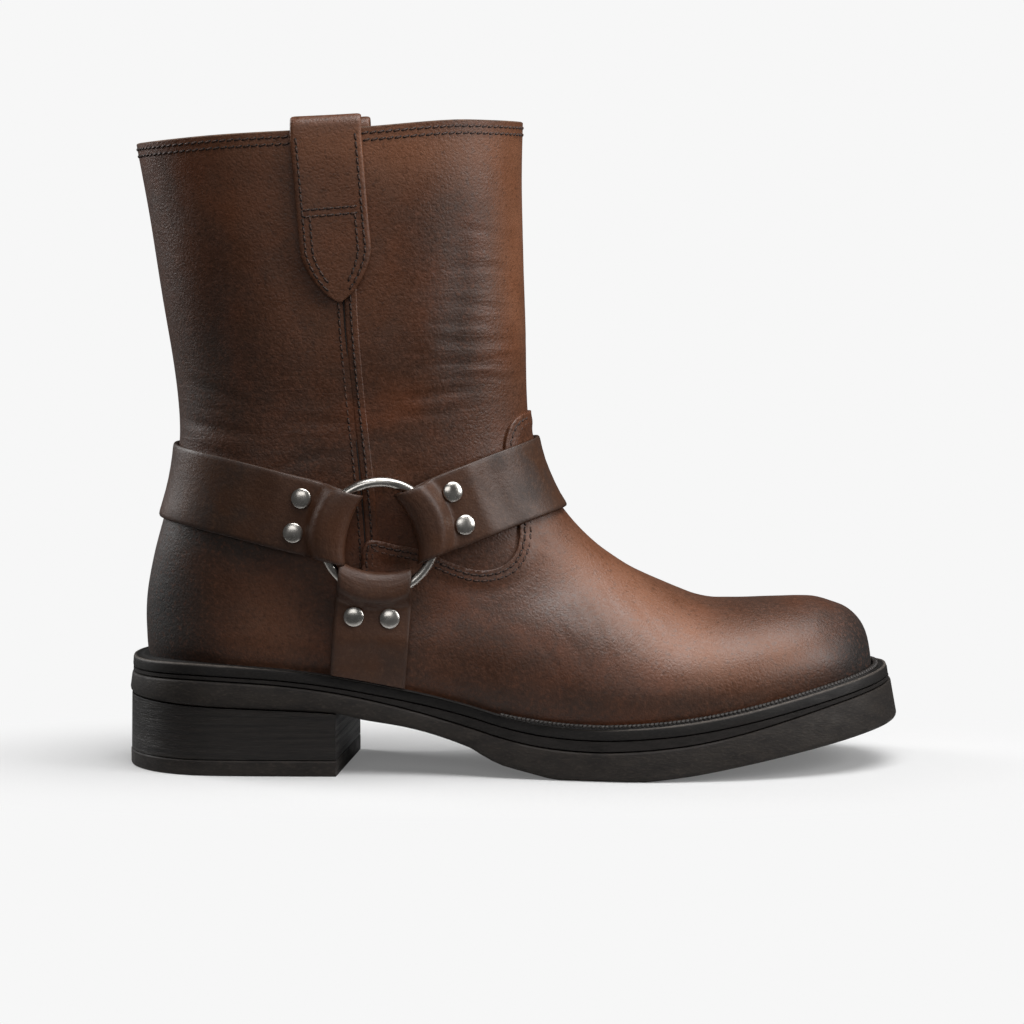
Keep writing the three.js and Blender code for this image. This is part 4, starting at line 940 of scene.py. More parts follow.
def foot_ring(gap, height):
    """A ring of points that follows the upper's own face just above the seat."""

    def inside(x):
        return bool(np.isfinite(bed_at(x, seat(x) + CLEARANCE, -1, gap))[0])

    first = halved(x_at(0.2), x_at(-0.05), inside, 30)
    last = halved(x_at(0.8), x_at(1.05), inside, 30)
    x = mix(first, last, crowd(np.arange(OUTLINE_STEPS + 1) / OUTLINE_STEPS))
    outer = bed_at(x, seat(x) + CLEARANCE, -1, gap)
    inner = bed_at(x, seat(x) + CLEARANCE, 1, gap)
    middle = (outer + inner) / 2
    for end in (0, -1):
        outer[end] = inner[end] = middle[end]
    z = height(x) * np.ones_like(x)
    lateral = np.stack([x, outer, z], axis=1)
    medial = np.stack([x, inner, z], axis=1)
    return np.concatenate([lateral, medial[-2:0:-1]])


def layer(name, rings, material, capped=True, marked=(0, 0)):
    """A closed layer through rings of points, with strips across its first and last rings."""
    rings = np.array(rings)
    count = rings.shape[1]
    faces = [tuple(face) for face in grid_faces(len(rings), count, around=True)]
    if capped:
        half = count // 2
        for base, flip in ((0, True), ((len(rings) - 1) * count, False)):
            for i in range(half):
                j = (count - i) % count
                k = count - i - 1
                ring = [base + j, base + i, base + i + 1, base + k]
                ring = list(dict.fromkeys(ring))
                if len(ring) >= 3:
                    faces.append(tuple(ring[::-1] if flip else ring))
    obj = new_object(name, rings.reshape(-1, 3), faces, material)
    ring = np.repeat(np.arange(len(rings)), count)
    set_attribute(obj, "edge", (ring >= marked[0]) & (ring < marked[1]))
    return obj


def reworked(obj, change):
    work = bmesh.new()
    work.from_mesh(obj.data)
    change(work)
    work.to_mesh(obj.data)
    work.free()


def weld_and_turn(obj):
    def change(work):
        bmesh.ops.remove_doubles(work, verts=work.verts, dist=1e-6)
        bmesh.ops.recalc_face_normals(work, faces=work.faces)

    reworked(obj, change)


def sharpen(obj, degrees=35):
    """Marks edges sharper than an angle, so that shading stays crisp there."""

    def change(work):
        for edge in work.edges:
            if len(edge.link_faces) == 2 and edge.calc_face_angle(0) > math.radians(degrees):
                edge.smooth = False

    reworked(obj, change)


def welt_bottom(x):
    return seat(x) - WELT


def midsole_top(x):
    return welt_bottom(x) - CLEARANCE


def midsole_bottom(x):
    return midsole_top(x) - MIDSOLE * midsole_curve(share_of(x))


def outsole_top(x):
    return midsole_bottom(x) - CLEARANCE


RIB_GAP = 0.9
RIB_WIDTH = 1.5
RIB_HEIGHT = 1.4


def rib_height(x):
    return RIB_HEIGHT * smooth(0.46, 0.54, share_of(x))


def welt_inner(x):
    return flare(x) + margin(x) + 8


def tread_step(x):
    """The waist's bottom, a step above the tread that the heel stands against."""
    edge = x_at(0.451)
    breast = x_at(HEEL_LENGTH / SOLE_LENGTH) - HEEL_SKEW
    return tread(x) + TREAD_STEP * smooth(breast, edge, x) * (x < edge)


def tread_round(rise):
    return lambda x: np.maximum(tread(x) + rise, tread_step(x))


def block_top(x):
    return np.maximum(tread(x) - CLEARANCE, TOP_PIECE + 2 * CLEARANCE)


def level(height):
    return lambda x: height + 0 * x


# Rings of each layer: share of the flare, further inset, height line, rise over it
WELT_ROWS = [
    (0.8, 0.6, welt_bottom, 0), (0.8, 0.15, welt_bottom, 0.25), (0.85, 0, welt_bottom, 0.9),
    (0.9, 0.1, seat, -1.6), (1, 0, seat, -0.9), (1, 0.2, seat, -0.3), (1, 0.8, seat, 0), (1, 1.4, seat, -0.25),
]
MIDSOLE_ROWS = [
    (0.7, 1.5, midsole_bottom, 0), (0.7, 0.3, midsole_bottom, 0.3), (0.7, 0.3, midsole_top, -0.2),
    (0.7, 1.5, midsole_top, 0),
]
OUTSOLE_ROWS = [
    (0, 2.2, tread_step, 0), (0, 1.3, tread_round(0.15), 0), (0, 0.6, tread_round(0.6), 0),
    (0, 0.15, tread, 1.3), (0, 0, tread, 2.2), (0.55, 0, outsole_top, -0.9),
    (0.55, 0.2, outsole_top, -0.3), (0.55, 0.9, outsole_top, 0),
]
BLOCK_ROWS = [
    (0, 0.41, level(TOP_PIECE + CLEARANCE), 0), (0, 0.26, level(TOP_PIECE + CLEARANCE), 0.15),
    (0, 0.585, block_top, -0.15), (0, 0.735, block_top, 0),
]
TOP_PIECE_ROWS = [
    (0, 0.8, level(0), 0), (0, 0.2, level(0), 0.25), (0, 0, level(0), 0.8), (0, 0, level(TOP_PIECE), -0.5),
    (0, 0.5, level(TOP_PIECE), 0),
]
# The welt's rib: share of its width, further gap, share of its height, rise
RIB_ROWS = [
    (1, 0.3, 0, -0.25), (1, 0, 0.45, 0), (0.65, 0, 1, 0), (0.3, 0, 1, 0), (0, 0, 0.4, 0),
    (0, -0.2, 0, 0),
]


def sole_rings(rows):
    return [sole_ring(lambda x: flare(x) * share + inset, lambda x: height(x) + rise)
            for share, inset, height, rise in rows]


def rib_rings():
    return [foot_ring(RIB_GAP + RIB_WIDTH * share + gap, lambda x: seat(x) + rib_height(x) * tall + rise)
            for share, gap, tall, rise in RIB_ROWS]


def cut_breast(obj):
    """Cuts a heel layer off along its slanted front."""
    breast_x = x_at(HEEL_LENGTH / SOLE_LENGTH)
    slope = HEEL_SKEW / (2 * float(plan_half(breast_x)))

    def change(work):
        cut = bmesh.ops.bisect_plane(
            work,
            geom=work.verts[:] + work.edges[:] + work.faces[:],
            plane_co=(breast_x / 1000, float(plan_centre(breast_x)) / 1000, 0),
            plane_no=(1, -slope, 0),
            clear_outer=True,
        )
        edges = [item for item in cut["geom_cut"] if isinstance(item, bmesh.types.BMEdge)]
        bmesh.ops.holes_fill(work, edges=edges)
        bmesh.ops.recalc_face_normals(work, faces=work.faces)

    reworked(obj, change)


def make_sole():
    outline = [sole_ring(welt_inner, welt_bottom)]
    rings = outline + sole_rings(WELT_ROWS) + rib_rings() + [sole_ring(welt_inner, seat)] + outline
    # Rows 6 and 7, the welt's top outer edge, take the lighter colour of a painted highlight.
    welt = layer("welt_strip", rings, welt_dark, capped=False, marked=(6, 8))
    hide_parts("welt")
    middle = layer("midsole_layer", sole_rings(MIDSOLE_ROWS), midsole_dark)
    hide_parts("midsole")
    outsole = layer("outsole_layer", sole_rings(OUTSOLE_ROWS), sole_dark)
    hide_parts("outsole")
    block = layer("heel_stack", sole_rings(BLOCK_ROWS), heel_dark)
    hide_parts("heel_block")
    top_piece = layer("heel_rubber", sole_rings(TOP_PIECE_ROWS), sole_dark)
    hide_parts("heel_top_piece")
    for obj in (welt, middle, outsole):
        weld_and_turn(obj)
        sharpen(obj, 50)
    for obj in (block, top_piece):
        weld_and_turn(obj)
        cut_breast(obj)
        sharpen(obj)


make_sole()

# Harness
RING_MEAN = (RING_DIAMETER - RING_WIRE) / 2
STRAP_SINGLE = STRAP_GAP + STRAP_THICK / 2
STRAP_DOUBLE = STRAP_SINGLE + STRAP_THICK + CLEARANCE
FOLD_RADIUS = RING_WIRE / 2 + FOLD_GAP + STRAP_THICK / 2


def ring_plane(side):
    step = 6

    def base(dx, dz):
        return float(bed_at(RING_X + dx, RING_Z + dz, side)[0])

    along = np.array([2 * step, base(step, 0) - base(-step, 0), 0])
    up = np.array([0, base(0, step) - base(0, -step), 2 * step])
    normal = unit(np.cross(along, up))
    if normal[1] * side < 0:
        normal = -normal
    centre = np.array([RING_X, base(0, 0), RING_Z])
    sideways = unit(np.cross([0, 0, 1], normal))
    upwards = np.cross(normal, sideways)
    least = 0.0
    for i in range(24):
        angle = i / 12 * math.pi
        point = centre + RING_MEAN * (math.cos(angle) * sideways + math.sin(angle) * upwards)
        off = (point[1] - base(point[0] - RING_X, point[2] - RING_Z)) * side * abs(normal[1])
        least = min(least, off)
    lowest = STRAP_SINGLE + FOLD_RADIUS + CLEARANCE / 2
    return centre + normal * (lowest - least), normal


RING_PLANES = {-1: ring_plane(-1), 1: ring_plane(1)}


class Walk:
    """One line of a strap over the surface, counted from the ring's centre."""

    def __init__(self, strap, side, offset):
        dx, dz = strap["direction"]
        self.side = side
        self.one_side = strap.get("stop_at_seat", False)
        self.width = np.array([-dz, 0, dx])

        def place(s):
            s = np.atleast_1d(np.asarray(s, float))
            x = RING_X - dz * offset + dx * s
            z = RING_Z + dx * offset + dz * s - strap["bend"] * np.minimum(s / 90, 1.2) ** 4
            return x, z

        def within(s):
            x, z = place(s)
            if self.one_side and z[0] < seat(x[0]) + 3 * CLEARANCE:
                return False
            return bool(np.isfinite(bed_at(x, z, side if self.one_side else -1))[0])

        end = halved(0.0, SOLE_LENGTH, within, 34)
        steps = 60
        if self.one_side:
            s = end * np.arange(steps + 1) / steps
            x, z = place(s)
            points = np.stack([x, bed_at(x, z, side), z], axis=1)
        else:
            s = end * np.sin(np.arange(steps) / steps * math.pi / 2)
            x, z = place(s)
            near = np.stack([x, bed_at(x, z, -1), z], axis=1)
            far = np.stack([x, bed_at(x, z, 1), z], axis=1)
            points = np.concatenate([near, far[::-1]])
        self.points = points
        self.lengths = travelled(points)
        self.total = self.lengths[-1]

    def at(self, distance):
        wanted = min(max(distance, 0), self.total)
        return np.array([np.interp(wanted, self.lengths, self.points[:, k]) for k in range(3)])

    def read(self, distance, lift):
        tangent = unit(self.at(distance + 2) - self.at(distance - 2))
        normal = unit(np.cross(tangent, self.width))
        if self.one_side and self.side > 0:
            normal = -normal
        return self.at(distance) + normal * lift, normal

    def wire(self, plane, from_far):
        centre, plane_normal = plane

        def where(s):
            return self.total - s if from_far else s

        def height_at(s):
            point, normal = self.read(where(s), 0)
            return (centre - point) @ plane_normal / (plane_normal @ normal)

        def before(s):
            lifted, _ = self.read(where(s), height_at(s))
            return np.linalg.norm(lifted - centre) < RING_MEAN

        s = halved(4.0, RING_MEAN + 8, before, 26)
        return s, height_at(s)


def make_walks(strap, side):
    cache = {}

    def find(offset):
        key = round(offset * 1000)
        if key not in cache:
            cache[key] = Walk(strap, side, offset)
        return cache[key]

    return find


LOWER_SHARES = [1, 0.7, 0.5, 0.42, 0.34, 0.26, 0.2, 0.14, 0.08, 0.04]
UPPER_SHARES = [0.04, 0.08, 0.14, 0.2, 0.26, 0.34, 0.42, 0.5, 0.7, 0.9, 0.97]
UPPER_SHARES += [1, 1.05, 1.12, 1.2, 1.3, 1.45, 1.6, 1.7]
FOLD_TURNS = 14
WRAP_STEPS = 70
DOWN_STEPS = 14
FOLD_WAIST = 0.95
FOLD_SLACK = 1.0


def strap_end(walks, share, plane, from_far, drop):
    offset = (share - 0.5) * STRAP_WIDTH - drop
    narrow = (share - 0.5) * STRAP_WIDTH * FOLD_WAIST - drop
    wire_s, wire_height = walks(narrow).wire(plane, from_far)
    slant = math.sqrt(1 - (narrow / RING_MEAN) ** 2)
    corner = math.sqrt(1 - (STRAP_WIDTH / 2 * FOLD_WAIST / RING_MEAN) ** 2)
    fold_length = RING_WIRE / 2 / slant + FOLD_GAP + STRAP_THICK / 2 + FOLD_SLACK
    fold_length += 0.5 * RING_MEAN * max(slant - corner, 0)
    stations = []

    def settle(t):
        return float(smooth(0.1, 0.42, t))

    def taper(t):
        return mix(narrow, offset, float(smooth(0, 0.6, t)))

    for t in LOWER_SHARES:
        lift = mix(wire_height - FOLD_RADIUS, STRAP_SINGLE, settle(t))
        stations.append((mix(wire_s, STRAP_TONGUE, t), lift, taper(t)))
    for i in range(FOLD_TURNS + 1):
        angle = math.pi * i / FOLD_TURNS
        lift = wire_height - FOLD_RADIUS * math.cos(angle)
        stations.append((wire_s - fold_length * math.sin(angle), lift, narrow))
    for t in UPPER_SHARES:
        both = mix(wire_height + FOLD_RADIUS, STRAP_DOUBLE, settle(t))
        lift = mix(both, STRAP_SINGLE, float(smooth(1, 1.6, t)))
        stations.append((mix(wire_s, STRAP_TONGUE, t), lift, taper(t)))
    return stations


ACROSS = [0, 0.02, 0.06, 0.18, 0.34, 0.5, 0.66, 0.82, 0.94, 0.98, 1]
EDGE_SHARE = [0.5, 0.86, 1, 1, 1, 1, 1, 1, 1, 0.86, 0.5]


def sweep_strip(name, paths, width, thickness, material, folds):
    """A flat strip with rounded edges along one path of points for each line across it."""
    paths = np.array(paths)
    tangent = np.empty_like(paths)
    tangent[:, 1:-1] = paths[:, 2:] - paths[:, :-2]
    tangent[:, 0] = paths[:, 1] - paths[:, 0]
    tangent[:, -1] = paths[:, -1] - paths[:, -2]
    tangent /= np.linalg.norm(tangent, axis=2, keepdims=True)
    normal = np.cross(tangent, np.asarray(width)[None, None, :])
    normal /= np.linalg.norm(normal, axis=2, keepdims=True)
    half = np.asarray(EDGE_SHARE)[:, None, None] * thickness / 2
    above = paths + normal * half
    below = paths - normal * half
    rings = np.concatenate([above, below[::-1]], axis=0).transpose(1, 0, 2)
    count = rings.shape[1]
    faces = [tuple(face) for face in grid_faces(len(rings), count, around=True)]
    for base, flip in ((0, True), ((len(rings) - 1) * count, False)):
        for i in range(count // 2 - 1):
            ring = (base + count - 1 - i, base + count - 2 - i, base + i + 1, base + i)
            faces.append(ring if flip else ring[::-1])
    obj = new_object(name, rings.reshape(-1, 3), faces, material)
    middle = paths[len(paths) // 2]
    along = travelled(middle)
    shares = np.concatenate([ACROSS, ACROSS[::-1]])
    set_attribute(obj, "along", np.repeat(along, count))
    set_attribute(obj, "across", np.tile(shares * STRAP_WIDTH, len(rings)))
    set_attribute(obj, "edge", np.tile(np.abs(shares - 0.5) > 0.45, len(rings)))
    fold = np.zeros(len(along))
    worn = np.zeros(len(along))
    for k in folds:
        fold = np.maximum(fold, np.exp(-((along - along[k]) / 10) ** 2))
        worn = np.maximum(worn, np.exp(-((np.abs(along - along[k]) - 24) / 14) ** 2))
    set_attribute(obj, "fold", np.repeat(fold, count))
    set_attribute(obj, "worn", np.repeat(worn, count))
    weld_and_turn(obj)
    return obj


def strap_point(walks, station, from_far):
    s, lift, offset = station
    line = walks(offset)
    return line.read(line.total - s if from_far else s, lift)[0]


def strap_at(degrees, bend, stop_at_seat=False):
    angle = math.radians(degrees)
    return {"direction": (math.cos(angle), math.sin(angle)), "bend": bend, "stop_at_seat": stop_at_seat}


def lay_strap(name, node, strap, side, drop=0.0):
    """A strap from one ring, round to the other ring or down to the welt, and the places of its rivets."""
    walks = make_walks(strap, side)
    goes_down = strap["stop_at_seat"]
    steps = DOWN_STEPS if goes_down else WRAP_STEPS
    paths = []
    for share in ACROSS:
        near = strap_end(walks, share, RING_PLANES[side], False, drop)
        far = [] if goes_down else strap_end(walks, share, RING_PLANES[-side], True, drop)[::-1]
        path = [strap_point(walks, station, False) for station in near]
        total = walks((share - 0.5) * STRAP_WIDTH - drop).total
        first, lift, offset = near[-1]
        last = total if goes_down else total - far[0][0]
        for i in range(1, steps + goes_down):
            path.append(strap_point(walks, (mix(first, last, i / steps), lift, offset), False))
        path += [strap_point(walks, station, True) for station in far]
        paths.append(path)
    width = (-strap["direction"][1], 0, strap["direction"][0])
    folds = (17,) if goes_down else (17, -18)
    obj = sweep_strip(name, paths, width, STRAP_THICK, strap_leather, folds)
    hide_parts(node)
    places = rivet_places(walks, False, drop)
    return places if goes_down else places + rivet_places(walks, True, drop)


def rivet_places(walks, from_far, drop):
    found = []
    lift = STRAP_DOUBLE + STRAP_THICK / 2 + RIVET_GAP
    for offset in (-RIVET_SPACING / 2, RIVET_SPACING / 2):
        line = walks(offset - drop)
        found.append(line.read(line.total - RIVET_REACH if from_far else RIVET_REACH, lift))
    return found


def spin_profile(name, profile, segments, material):
    """A turned piece about its own Z axis, from (radius, height) pairs."""
    points = []
    for radius, height in profile:
        for k in range(segments):
            angle = 2 * math.pi * k / segments
            points.append((radius * math.cos(angle), radius * math.sin(angle), height))
    faces = grid_faces(len(profile), segments, around=True)
    obj = new_object(name, points, faces, material)
    weld_and_turn(obj)
    return obj


def put(obj, point, normal):
    turn = Vector((0, 0, 1)).rotation_difference(Vector(normal)).to_matrix().to_4x4()
    obj.data.transform(Matrix.Translation(Vector(point) / 1000) @ turn)


def make_rings():
    for side, name, node in ((-1, "ring_outer_wire", "ring_outer"), (1, "ring_inner_wire", "ring_inner")):
        around, wire = 96, 20
        points = []
        for i in range(around):
            a = 2 * math.pi * i / around
            for k in range(wire):
                b = 2 * math.pi * k / wire
                radius = RING_MEAN + RING_WIRE / 2 * math.cos(b)
                points.append((radius * math.cos(a), radius * math.sin(a), RING_WIRE / 2 * math.sin(b)))
        faces = [tuple(face) for face in grid_faces(around, wire, around=True)]
        last = (around - 1) * wire
        faces += [(last + k, last + (k + 1) % wire, (k + 1) % wire, k) for k in range(wire)]
        obj = new_object(name, points, faces, nickel)
        weld_and_turn(obj)
        put(obj, *RING_PLANES[side])
        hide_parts(node)


RIVET_PROFILE = [
    (0.0, -4.3), (1.5, -4.3), (1.5, -0.2), (3.5, -0.2), (3.9, -0.1), (4.0, 0.1), (3.92, 0.3), (3.65, 0.5),
    (3.1, 0.76), (2.3, 1.02), (1.4, 1.18), (0.7, 1.24), (0.0, 1.26),
]


def make_rivets(base, places):
    for i, (point, normal) in enumerate(places, 1):
        obj = spin_profile(f"{base}_{i}_cap", RIVET_PROFILE, 28, nickel)
        put(obj, point, normal)
        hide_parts(f"{base}_{i}")


make_rings()
heel = strap_at(180 - 14.6, 3.8)
instep = strap_at(20.8, 6)
down = strap_at(-90 - 4.5, 0, stop_at_seat=True)
make_rivets("rivet_heel_strap", lay_strap("heel_strap_leather", "heel_strap", heel, -1))
make_rivets("rivet_instep_strap", lay_strap("instep_strap_leather", "instep_strap", instep, -1, INSTEP_DROP))
make_rivets("rivet_down_outer", lay_strap("down_strap_outer_leather", "down_strap_outer", down, -1))
make_rivets("rivet_down_inner", lay_strap("down_strap_inner_leather", "down_strap_inner", down, 1))

# Insole, pull loops, seams and stitches


def make_insole():
    def inset(x):
        return welt_inner(x) + CLEARANCE

    gap = -(UPPER_THICK + VAMP_THICK + 2 * CLEARANCE)
    obj = layer("insole_board", [
        sole_ring(inset, lambda x: midsole_top(x) + CLEARANCE),
        sole_ring(inset, seat),
        foot_ring(gap, lambda x: seat(x) + CLEARANCE),
        foot_ring(gap, lambda x: seat(x) + INSOLE - 0.5),
        foot_ring(gap - 0.5, lambda x: seat(x) + INSOLE),
    ], insole_leather)
    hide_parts("insole")
    weld_and_turn(obj)
    sharpen(obj, 50)


def on_face(x, z, side, grow=0.0, lift=0.0, step=0.8):
    """Points over the upper's face in the side view, with their outward normals."""
    x, z = np.atleast_1d(x).astype(float), np.atleast_1d(z).astype(float)
    y = face_at(x, z, side, grow)
    slope_x = (face_at(x + step, z, side, grow) - face_at(x - step, z, side, grow)) / (2 * step)
    slope_z = (face_at(x, z + step, side, grow) - face_at(x, z - step, side, grow)) / (2 * step)
    normal = np.stack([-slope_x * side, np.full_like(y, side), -slope_z * side], axis=1)
    normal /= np.linalg.norm(normal, axis=1, keepdims=True)
    return np.stack([x, y, z], axis=1) + normal * lift, normal


def stitch_places(points, normals, pitch):
    """Evenly spaced places along a line on a surface: centre, direction, normal."""
    good = np.isfinite(points).all(axis=1) & np.isfinite(normals).all(axis=1)
    points, normals = points[good], normals[good]
    if len(points) < 3:
        return []
    at = travelled(points)
    places = []
    for k in range(int(at[-1] / pitch)):
        middle = (k + 0.5) * pitch
        ends = [np.array([np.interp(middle + d, at, points[:, i]) for i in range(3)]) for d in (-0.6, 0, 0.6)]
        normal = np.array([np.interp(middle, at, normals[:, i]) for i in range(3)])
        places.append((ends[1], unit(ends[2] - ends[0]), unit(normal)))
    return places


CAPSULE = [(-1.0, 0.12), (-0.86, 0.6), (-0.5, 1.0), (0.5, 1.0), (0.86, 0.6), (1.0, 0.12)]


def make_stitches(name, places, length, thick, material, slant=0.0, lift=0.0):
    """One piece of many short threads, each a low capsule pressed against the surface."""
    points = []
    faces = []
    for centre, direction, normal in places:
        centre = centre + normal * lift
        across = np.cross(normal, direction)
        direction = unit(direction + across * slant)
        across = np.cross(normal, direction)
        base = len(points)
        for u, radius in CAPSULE:
            for k in range(6):
                a = math.pi * (k + 0.5) / 3
                around = across * math.cos(a) + normal * (0.8 * math.sin(a))
                points.append(centre + direction * (u * length / 2) + around * (radius * thick / 2))
        faces.append(grid_faces(len(CAPSULE), 6, around=True, start=base))
    obj = new_object(name, points, np.concatenate(faces), material)
    return obj


def sew(name, places, slant):
    """Threads, with painted shade for the holes that their ends go into: a deep brown capsule under each thread.
    """
    make_stitches(f"{name}_holes", places, 3.0, 1.0, hole_shade, slant, lift=-0.16)
    make_stitches(f"{name}_threads", places, 2.2, 0.75, thread, slant)


def shifted(line, offset):
    """A line of the side view moved sideways, to the right going along it."""
    line = np.asarray(line, float)
    step = np.gradient(line, axis=0)
    step /= np.linalg.norm(step, axis=1, keepdims=True)
    return line + np.stack([-step[:, 1], step[:, 0]], axis=1) * offset


def ribbon(name, line, side, grow, width, height, material):
    """A low domed strip laid along a line of the side view."""
    rows = []
    for u, lift in ((-1, -0.3), (-0.93, 0.5), (-0.75, 0.9), (0, 1), (0.75, 0.9), (0.93, 0.5), (1, -0.3)):
        moved = shifted(line, u * width / 2)
        rows.append(on_face(moved[:, 0], moved[:, 1], side, grow, lift * height)[0])
    grid = np.array(rows).transpose(1, 0, 2)
    grid = grid[np.isfinite(grid).all(axis=(1, 2))]
    faces = grid_faces(len(grid), 7)
    obj = new_object(name, grid.reshape(-1, 3), faces, material)
    weld_and_turn(obj)
    dress(obj)


def down_from_rim(grid, normals, drop):
    """A line round the collar at a depth below the rim, from a grid of rings that starts at the rim."""
    line = []
    out = []
    for c in range(grid.shape[1]):
        depth = grid[0, c, 2] - grid[:25, c, 2]
        line.append([np.interp(drop, depth, grid[:25, c, i]) for i in range(3)])
        out.append([np.interp(drop, depth, normals[:25, c, i]) for i in range(3)])
    line.append(line[0])
    out.append(out[0])
    return np.array(line), np.array(out)


SEAM = dense_outline([(-66.6, 254), (-65.9, 186.6), (-63.1, 148.7), (-60, 117.6), (-58.1, 86.4), (-59, 50)])


def make_seams(grid, normals):
    places = []
    for drop in (2.0, 4.7):
        line, out = down_from_rim(grid, normals, drop)
        places += stitch_places(line + out * 0.12, out, 3.1)
    sew("collar", places, 0.22)
    rows = []
    for side, name in ((-1, "outer"), (1, "inner")):
        ribbon(f"seam_lap_{name}", shifted(SEAM, 2.6), side, 0.0, 5.0, 0.4, leather)
        ribbon(f"seam_groove_{name}", shifted(SEAM, -0.1), side, 0.0, 0.6, 0.12, seam_dark)
        for offset, lift in ((2.5, 0.62), (-2.2, 0.1)):
            moved = shifted(SEAM, offset)
            rows += stitch_places(*on_face(moved[:, 0], moved[:, 1], side, 0.0, lift), 3.2)
        for offset in (1.9, 4.1):
            moved = shifted(vamp_line, offset)
            rows += stitch_places(*on_face(moved[:, 0], moved[:, 1], side, VAMP_THICK, 0.2), 3.2)
    sew("side", rows, 0.1)


def make_bead():
    ring = foot_ring(RIB_GAP + RIB_WIDTH / 2, lambda x: seat(x) + rib_height(x) * 0.62)
    ring = np.concatenate([ring, ring[:1]])
    ring = ring[share_of(ring[:, 0]) > 0.47]
    places = stitch_places(ring, np.tile([0.0, 0.0, 1.0], (len(ring), 1)), 1.75)
    for name, side in (("bead_outer", -1), ("bead_inner", 1)):
        own = [place for place in places if (place[0][1] >= plan_centre(place[0][0])) == (side > 0)]
        make_stitches(name, own, 2.9, 1.9, bead_thread, -0.75 * side)


PULL_AXIS = (math.sin(PULL_TILT), -math.cos(PULL_TILT))
PULL_OUT = PULL_GAP + PULL_THICK / 2
PULL_IN = -(UPPER_THICK + PULL_GAP + PULL_THICK / 2)
PULL_TOP = float(rim_height(PULL_X))
PULL_POWER = 1.5


def pull_face(drop, across, side, lift):
    drop = np.atleast_1d(np.asarray(drop, float))
    across = np.broadcast_to(np.asarray(across, float), drop.shape)
    x = PULL_X + PULL_AXIS[0] * drop + math.cos(PULL_TILT) * across
    z = PULL_TOP + PULL_AXIS[1] * drop + math.sin(PULL_TILT) * across
    return on_face(x, z, side, 0.0, lift)


def pull_half(drop):
    """Half the loop's width at a distance below the rim, where its end comes to a point."""
    left = np.clip((PULL_DROP - np.asarray(drop, float)) / PULL_TIP, 0, 1)
    return PULL_WIDTH / 2 * round_end(left, 1, PULL_POWER)


def make_pull_loop(side, name, node):
    over = (PULL_OUT - PULL_IN) / 2
    paths = []
    for share in ACROSS:
        across = (share - 0.5) * PULL_WIDTH
        u = (np.arange(18) / 18) ** 1.5
        narrowed = across * np.maximum(round_end(u, 1, PULL_POWER), 0.08)
        tip, _ = pull_face(PULL_DROP - PULL_TIP * u, narrowed, side, PULL_OUT)
        down = np.linspace(PULL_DROP - PULL_TIP, 3, 16)
        straight, _ = pull_face(down, across, side, PULL_OUT)
        rim, out = pull_face(3, across, side, 0)
        out = unit(out[0] * (1, 1, 0))
        middle = rim[0] + out * (PULL_OUT + PULL_IN) / 2
        top = float(rim_height(middle[0])) + PULL_RISE - over
        turn = []
        for angle in np.linspace(0, math.pi, 15):
            place = middle + out * over * math.cos(angle)
            place[2] = top + over * math.sin(angle)
            turn.append(place)
        inside, _ = pull_face(np.linspace(3, PULL_INSIDE, 12), across, side, PULL_IN)
        paths.append(np.concatenate([tip, straight, turn, inside]))
    width = (math.cos(PULL_TILT), 0, math.sin(PULL_TILT))
    obj = sweep_strip(name, paths, width, PULL_THICK, leather, (41,))
    dress(obj)
    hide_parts(node)


def make_pulls():
    places = []
    for side, name in ((-1, "outer"), (1, "inner")):
        make_pull_loop(side, f"pull_loop_{name}_leather", f"pull_loop_{name}")
        lift = PULL_OUT + PULL_THICK / 2 + 0.05
        for inset, first in ((2.3, 2.0), (5.0, 32.0)):
            for turn in (-1, 1):
                drop = np.linspace(first, PULL_DROP - inset * 1.1, 60)
                half = pull_half(drop) - inset
                drop, half = drop[half > 0.4], half[half > 0.4]
                places += stitch_places(*pull_face(drop, half * turn, side, lift), 3.1)
        for drop in (30.0, 32.6):
            across = np.linspace(-PULL_WIDTH / 2 + 2.6, PULL_WIDTH / 2 - 2.6, 20)
            places += stitch_places(*pull_face(np.full(20, drop), across, side, lift), 3.0)
    sew("pull", places, 0.1)


skin_grid, skin_normals = make_upper()
make_vamp()
make_insole()
make_seams(skin_grid, skin_normals)
make_bead()
make_pulls()

# Camera, floor and light


def look_at(obj, target):
    direction = Vector(target) - obj.location
    obj.rotation_euler = direction.to_track_quat("-Z", "Y").to_euler()


LENS = 127.3
CAMERA_PLACE = (-0.0008, -1.450, 0.240)
CAMERA_AIM = (-0.0008, 0, 0.101)
camera_data = bpy.data.cameras.new("camera")
camera = bpy.data.objects.new("camera", camera_data)
bpy.context.collection.objects.link(camera)
camera_data.sensor_width = 36
camera_data.lens = LENS
camera_data.clip_end = 20
camera.location = CAMERA_PLACE
look_at(camera, CAMERA_AIM)
bpy.context.scene.camera = camera

PAPER_GLOW = 0.93
PAPER_NEAR, PAPER_FAR = 0.12, 0.3


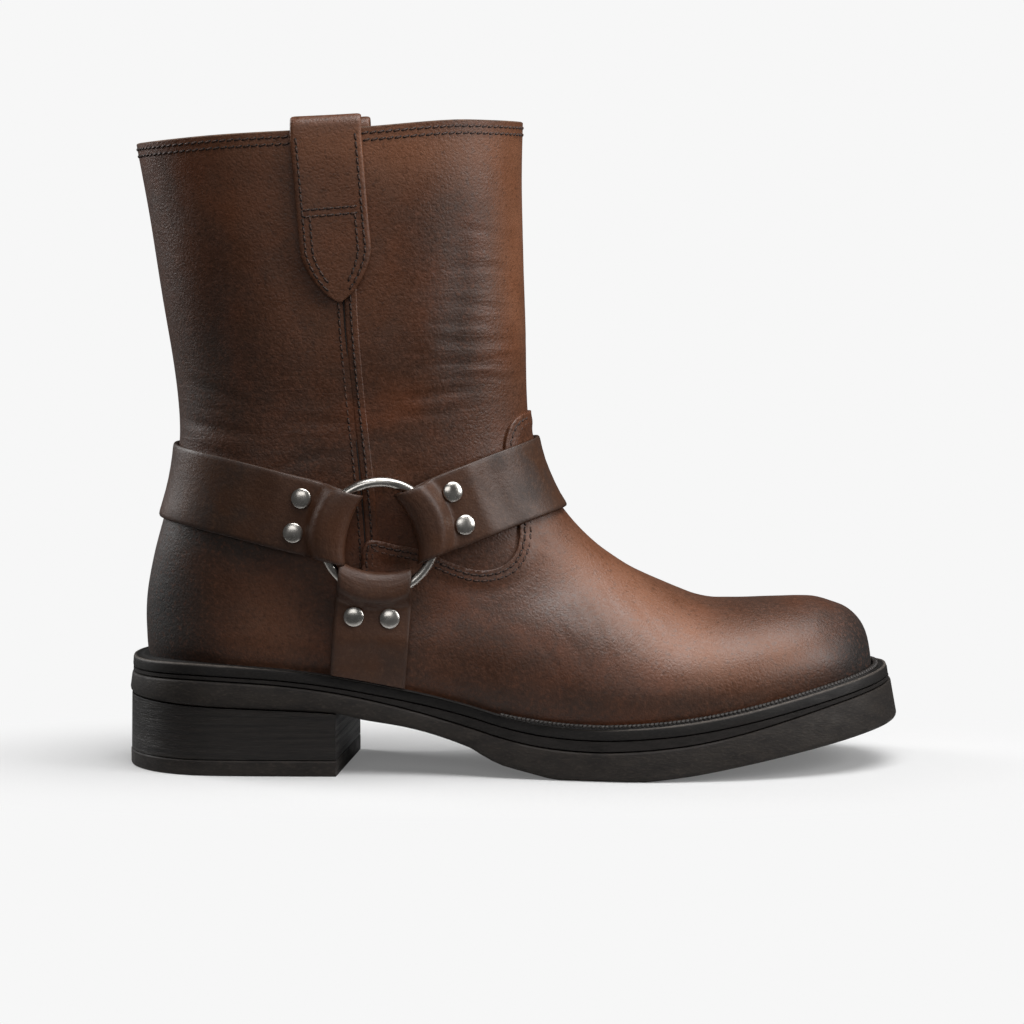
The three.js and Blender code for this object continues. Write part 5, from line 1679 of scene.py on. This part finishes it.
def paper():
    """White paper that takes soft shadows round the boot and is evenly bright further away."""
    f = Finish("paper", Base_Color=(0.6, 0.6, 0.6, 1), Roughness=0.9, Specular_IOR_Level=0.1)
    seen = f.node("LightPath").outputs["Is Camera Ray"]
    glow = f.node("Emission", {"Color": (PAPER_GLOW,) * 3 + (1,), "Strength": f.ramp(seen, 0, 1, 0.08, 1)})
    away = f.node("VectorMath", {0: f.stretched((1, 2.1, 1))}, operation="LENGTH").outputs["Value"]
    limits = {"Value": away, "From Min": PAPER_NEAR, "From Max": PAPER_FAR, "To Min": 0.15}
    share = f.node("MapRange", limits, interpolation_type="SMOOTHSTEP").outputs["Result"]
    join = f.node("MixShader", {0: share, 1: f.shader.outputs[0], 2: glow.outputs[0]})
    f.feed(f.tree.nodes["Material Output"].inputs["Surface"], join.outputs[0])
    return f.material


def make_backdrop():
    """One sheet of paper: a floor round the boot that curves up into a wall far behind it."""
    profile = [(-6.0, 0.0), (-0.6, 0.0), (0.0, 0.0), (0.6, 0.0), (2.4, 0.0)]
    for k in range(1, 13):
        angle = math.pi / 2 * k / 12
        profile.append((2.4 + 0.8 * math.sin(angle), 0.8 * (1 - math.cos(angle))))
    profile.append((3.2, 4.0))
    points = [(x, y, z) for y, z in profile for x in np.linspace(-6, 6, 13)]
    mesh = bpy.data.meshes.new("paper")
    mesh.from_pydata(points, [], [tuple(map(int, face)) for face in grid_faces(len(profile), 13)])
    obj = bpy.data.objects.new("paper", mesh)
    bpy.context.collection.objects.link(obj)
    mesh.materials.append(paper())


make_backdrop()


def area_light(name, place, target, size, power):
    data = bpy.data.lights.new(name, "AREA")
    data.shape = "RECTANGLE"
    data.size, data.size_y = size
    data.energy = power
    obj = bpy.data.objects.new(name, data)
    bpy.context.collection.objects.link(obj)
    obj.location = place
    look_at(obj, target)


area_light("top", (0.28, -0.2, 1.15), (0.04, 0, 0.1), (1.1, 0.8), 18)
area_light("right", (1.2, -0.5, 0.6), (0, 0, 0.12), (0.6, 0.9), 12)
area_light("back_left", (-1.1, 0.45, 0.7), (0, 0, 0.12), (0.6, 0.9), 12)
area_light("front", (-0.3, -1.9, 0.9), (0, 0, 0.1), (1.2, 0.8), 6)
world = bpy.data.worlds.new("world")
world.use_nodes = True
sky = world.node_tree.nodes["Background"].inputs
sky["Color"].default_value = (1, 1, 1, 1)
sky["Strength"].default_value = 0.07
bpy.context.scene.world = world
bpy.context.scene.view_settings.view_transform = "Standard"
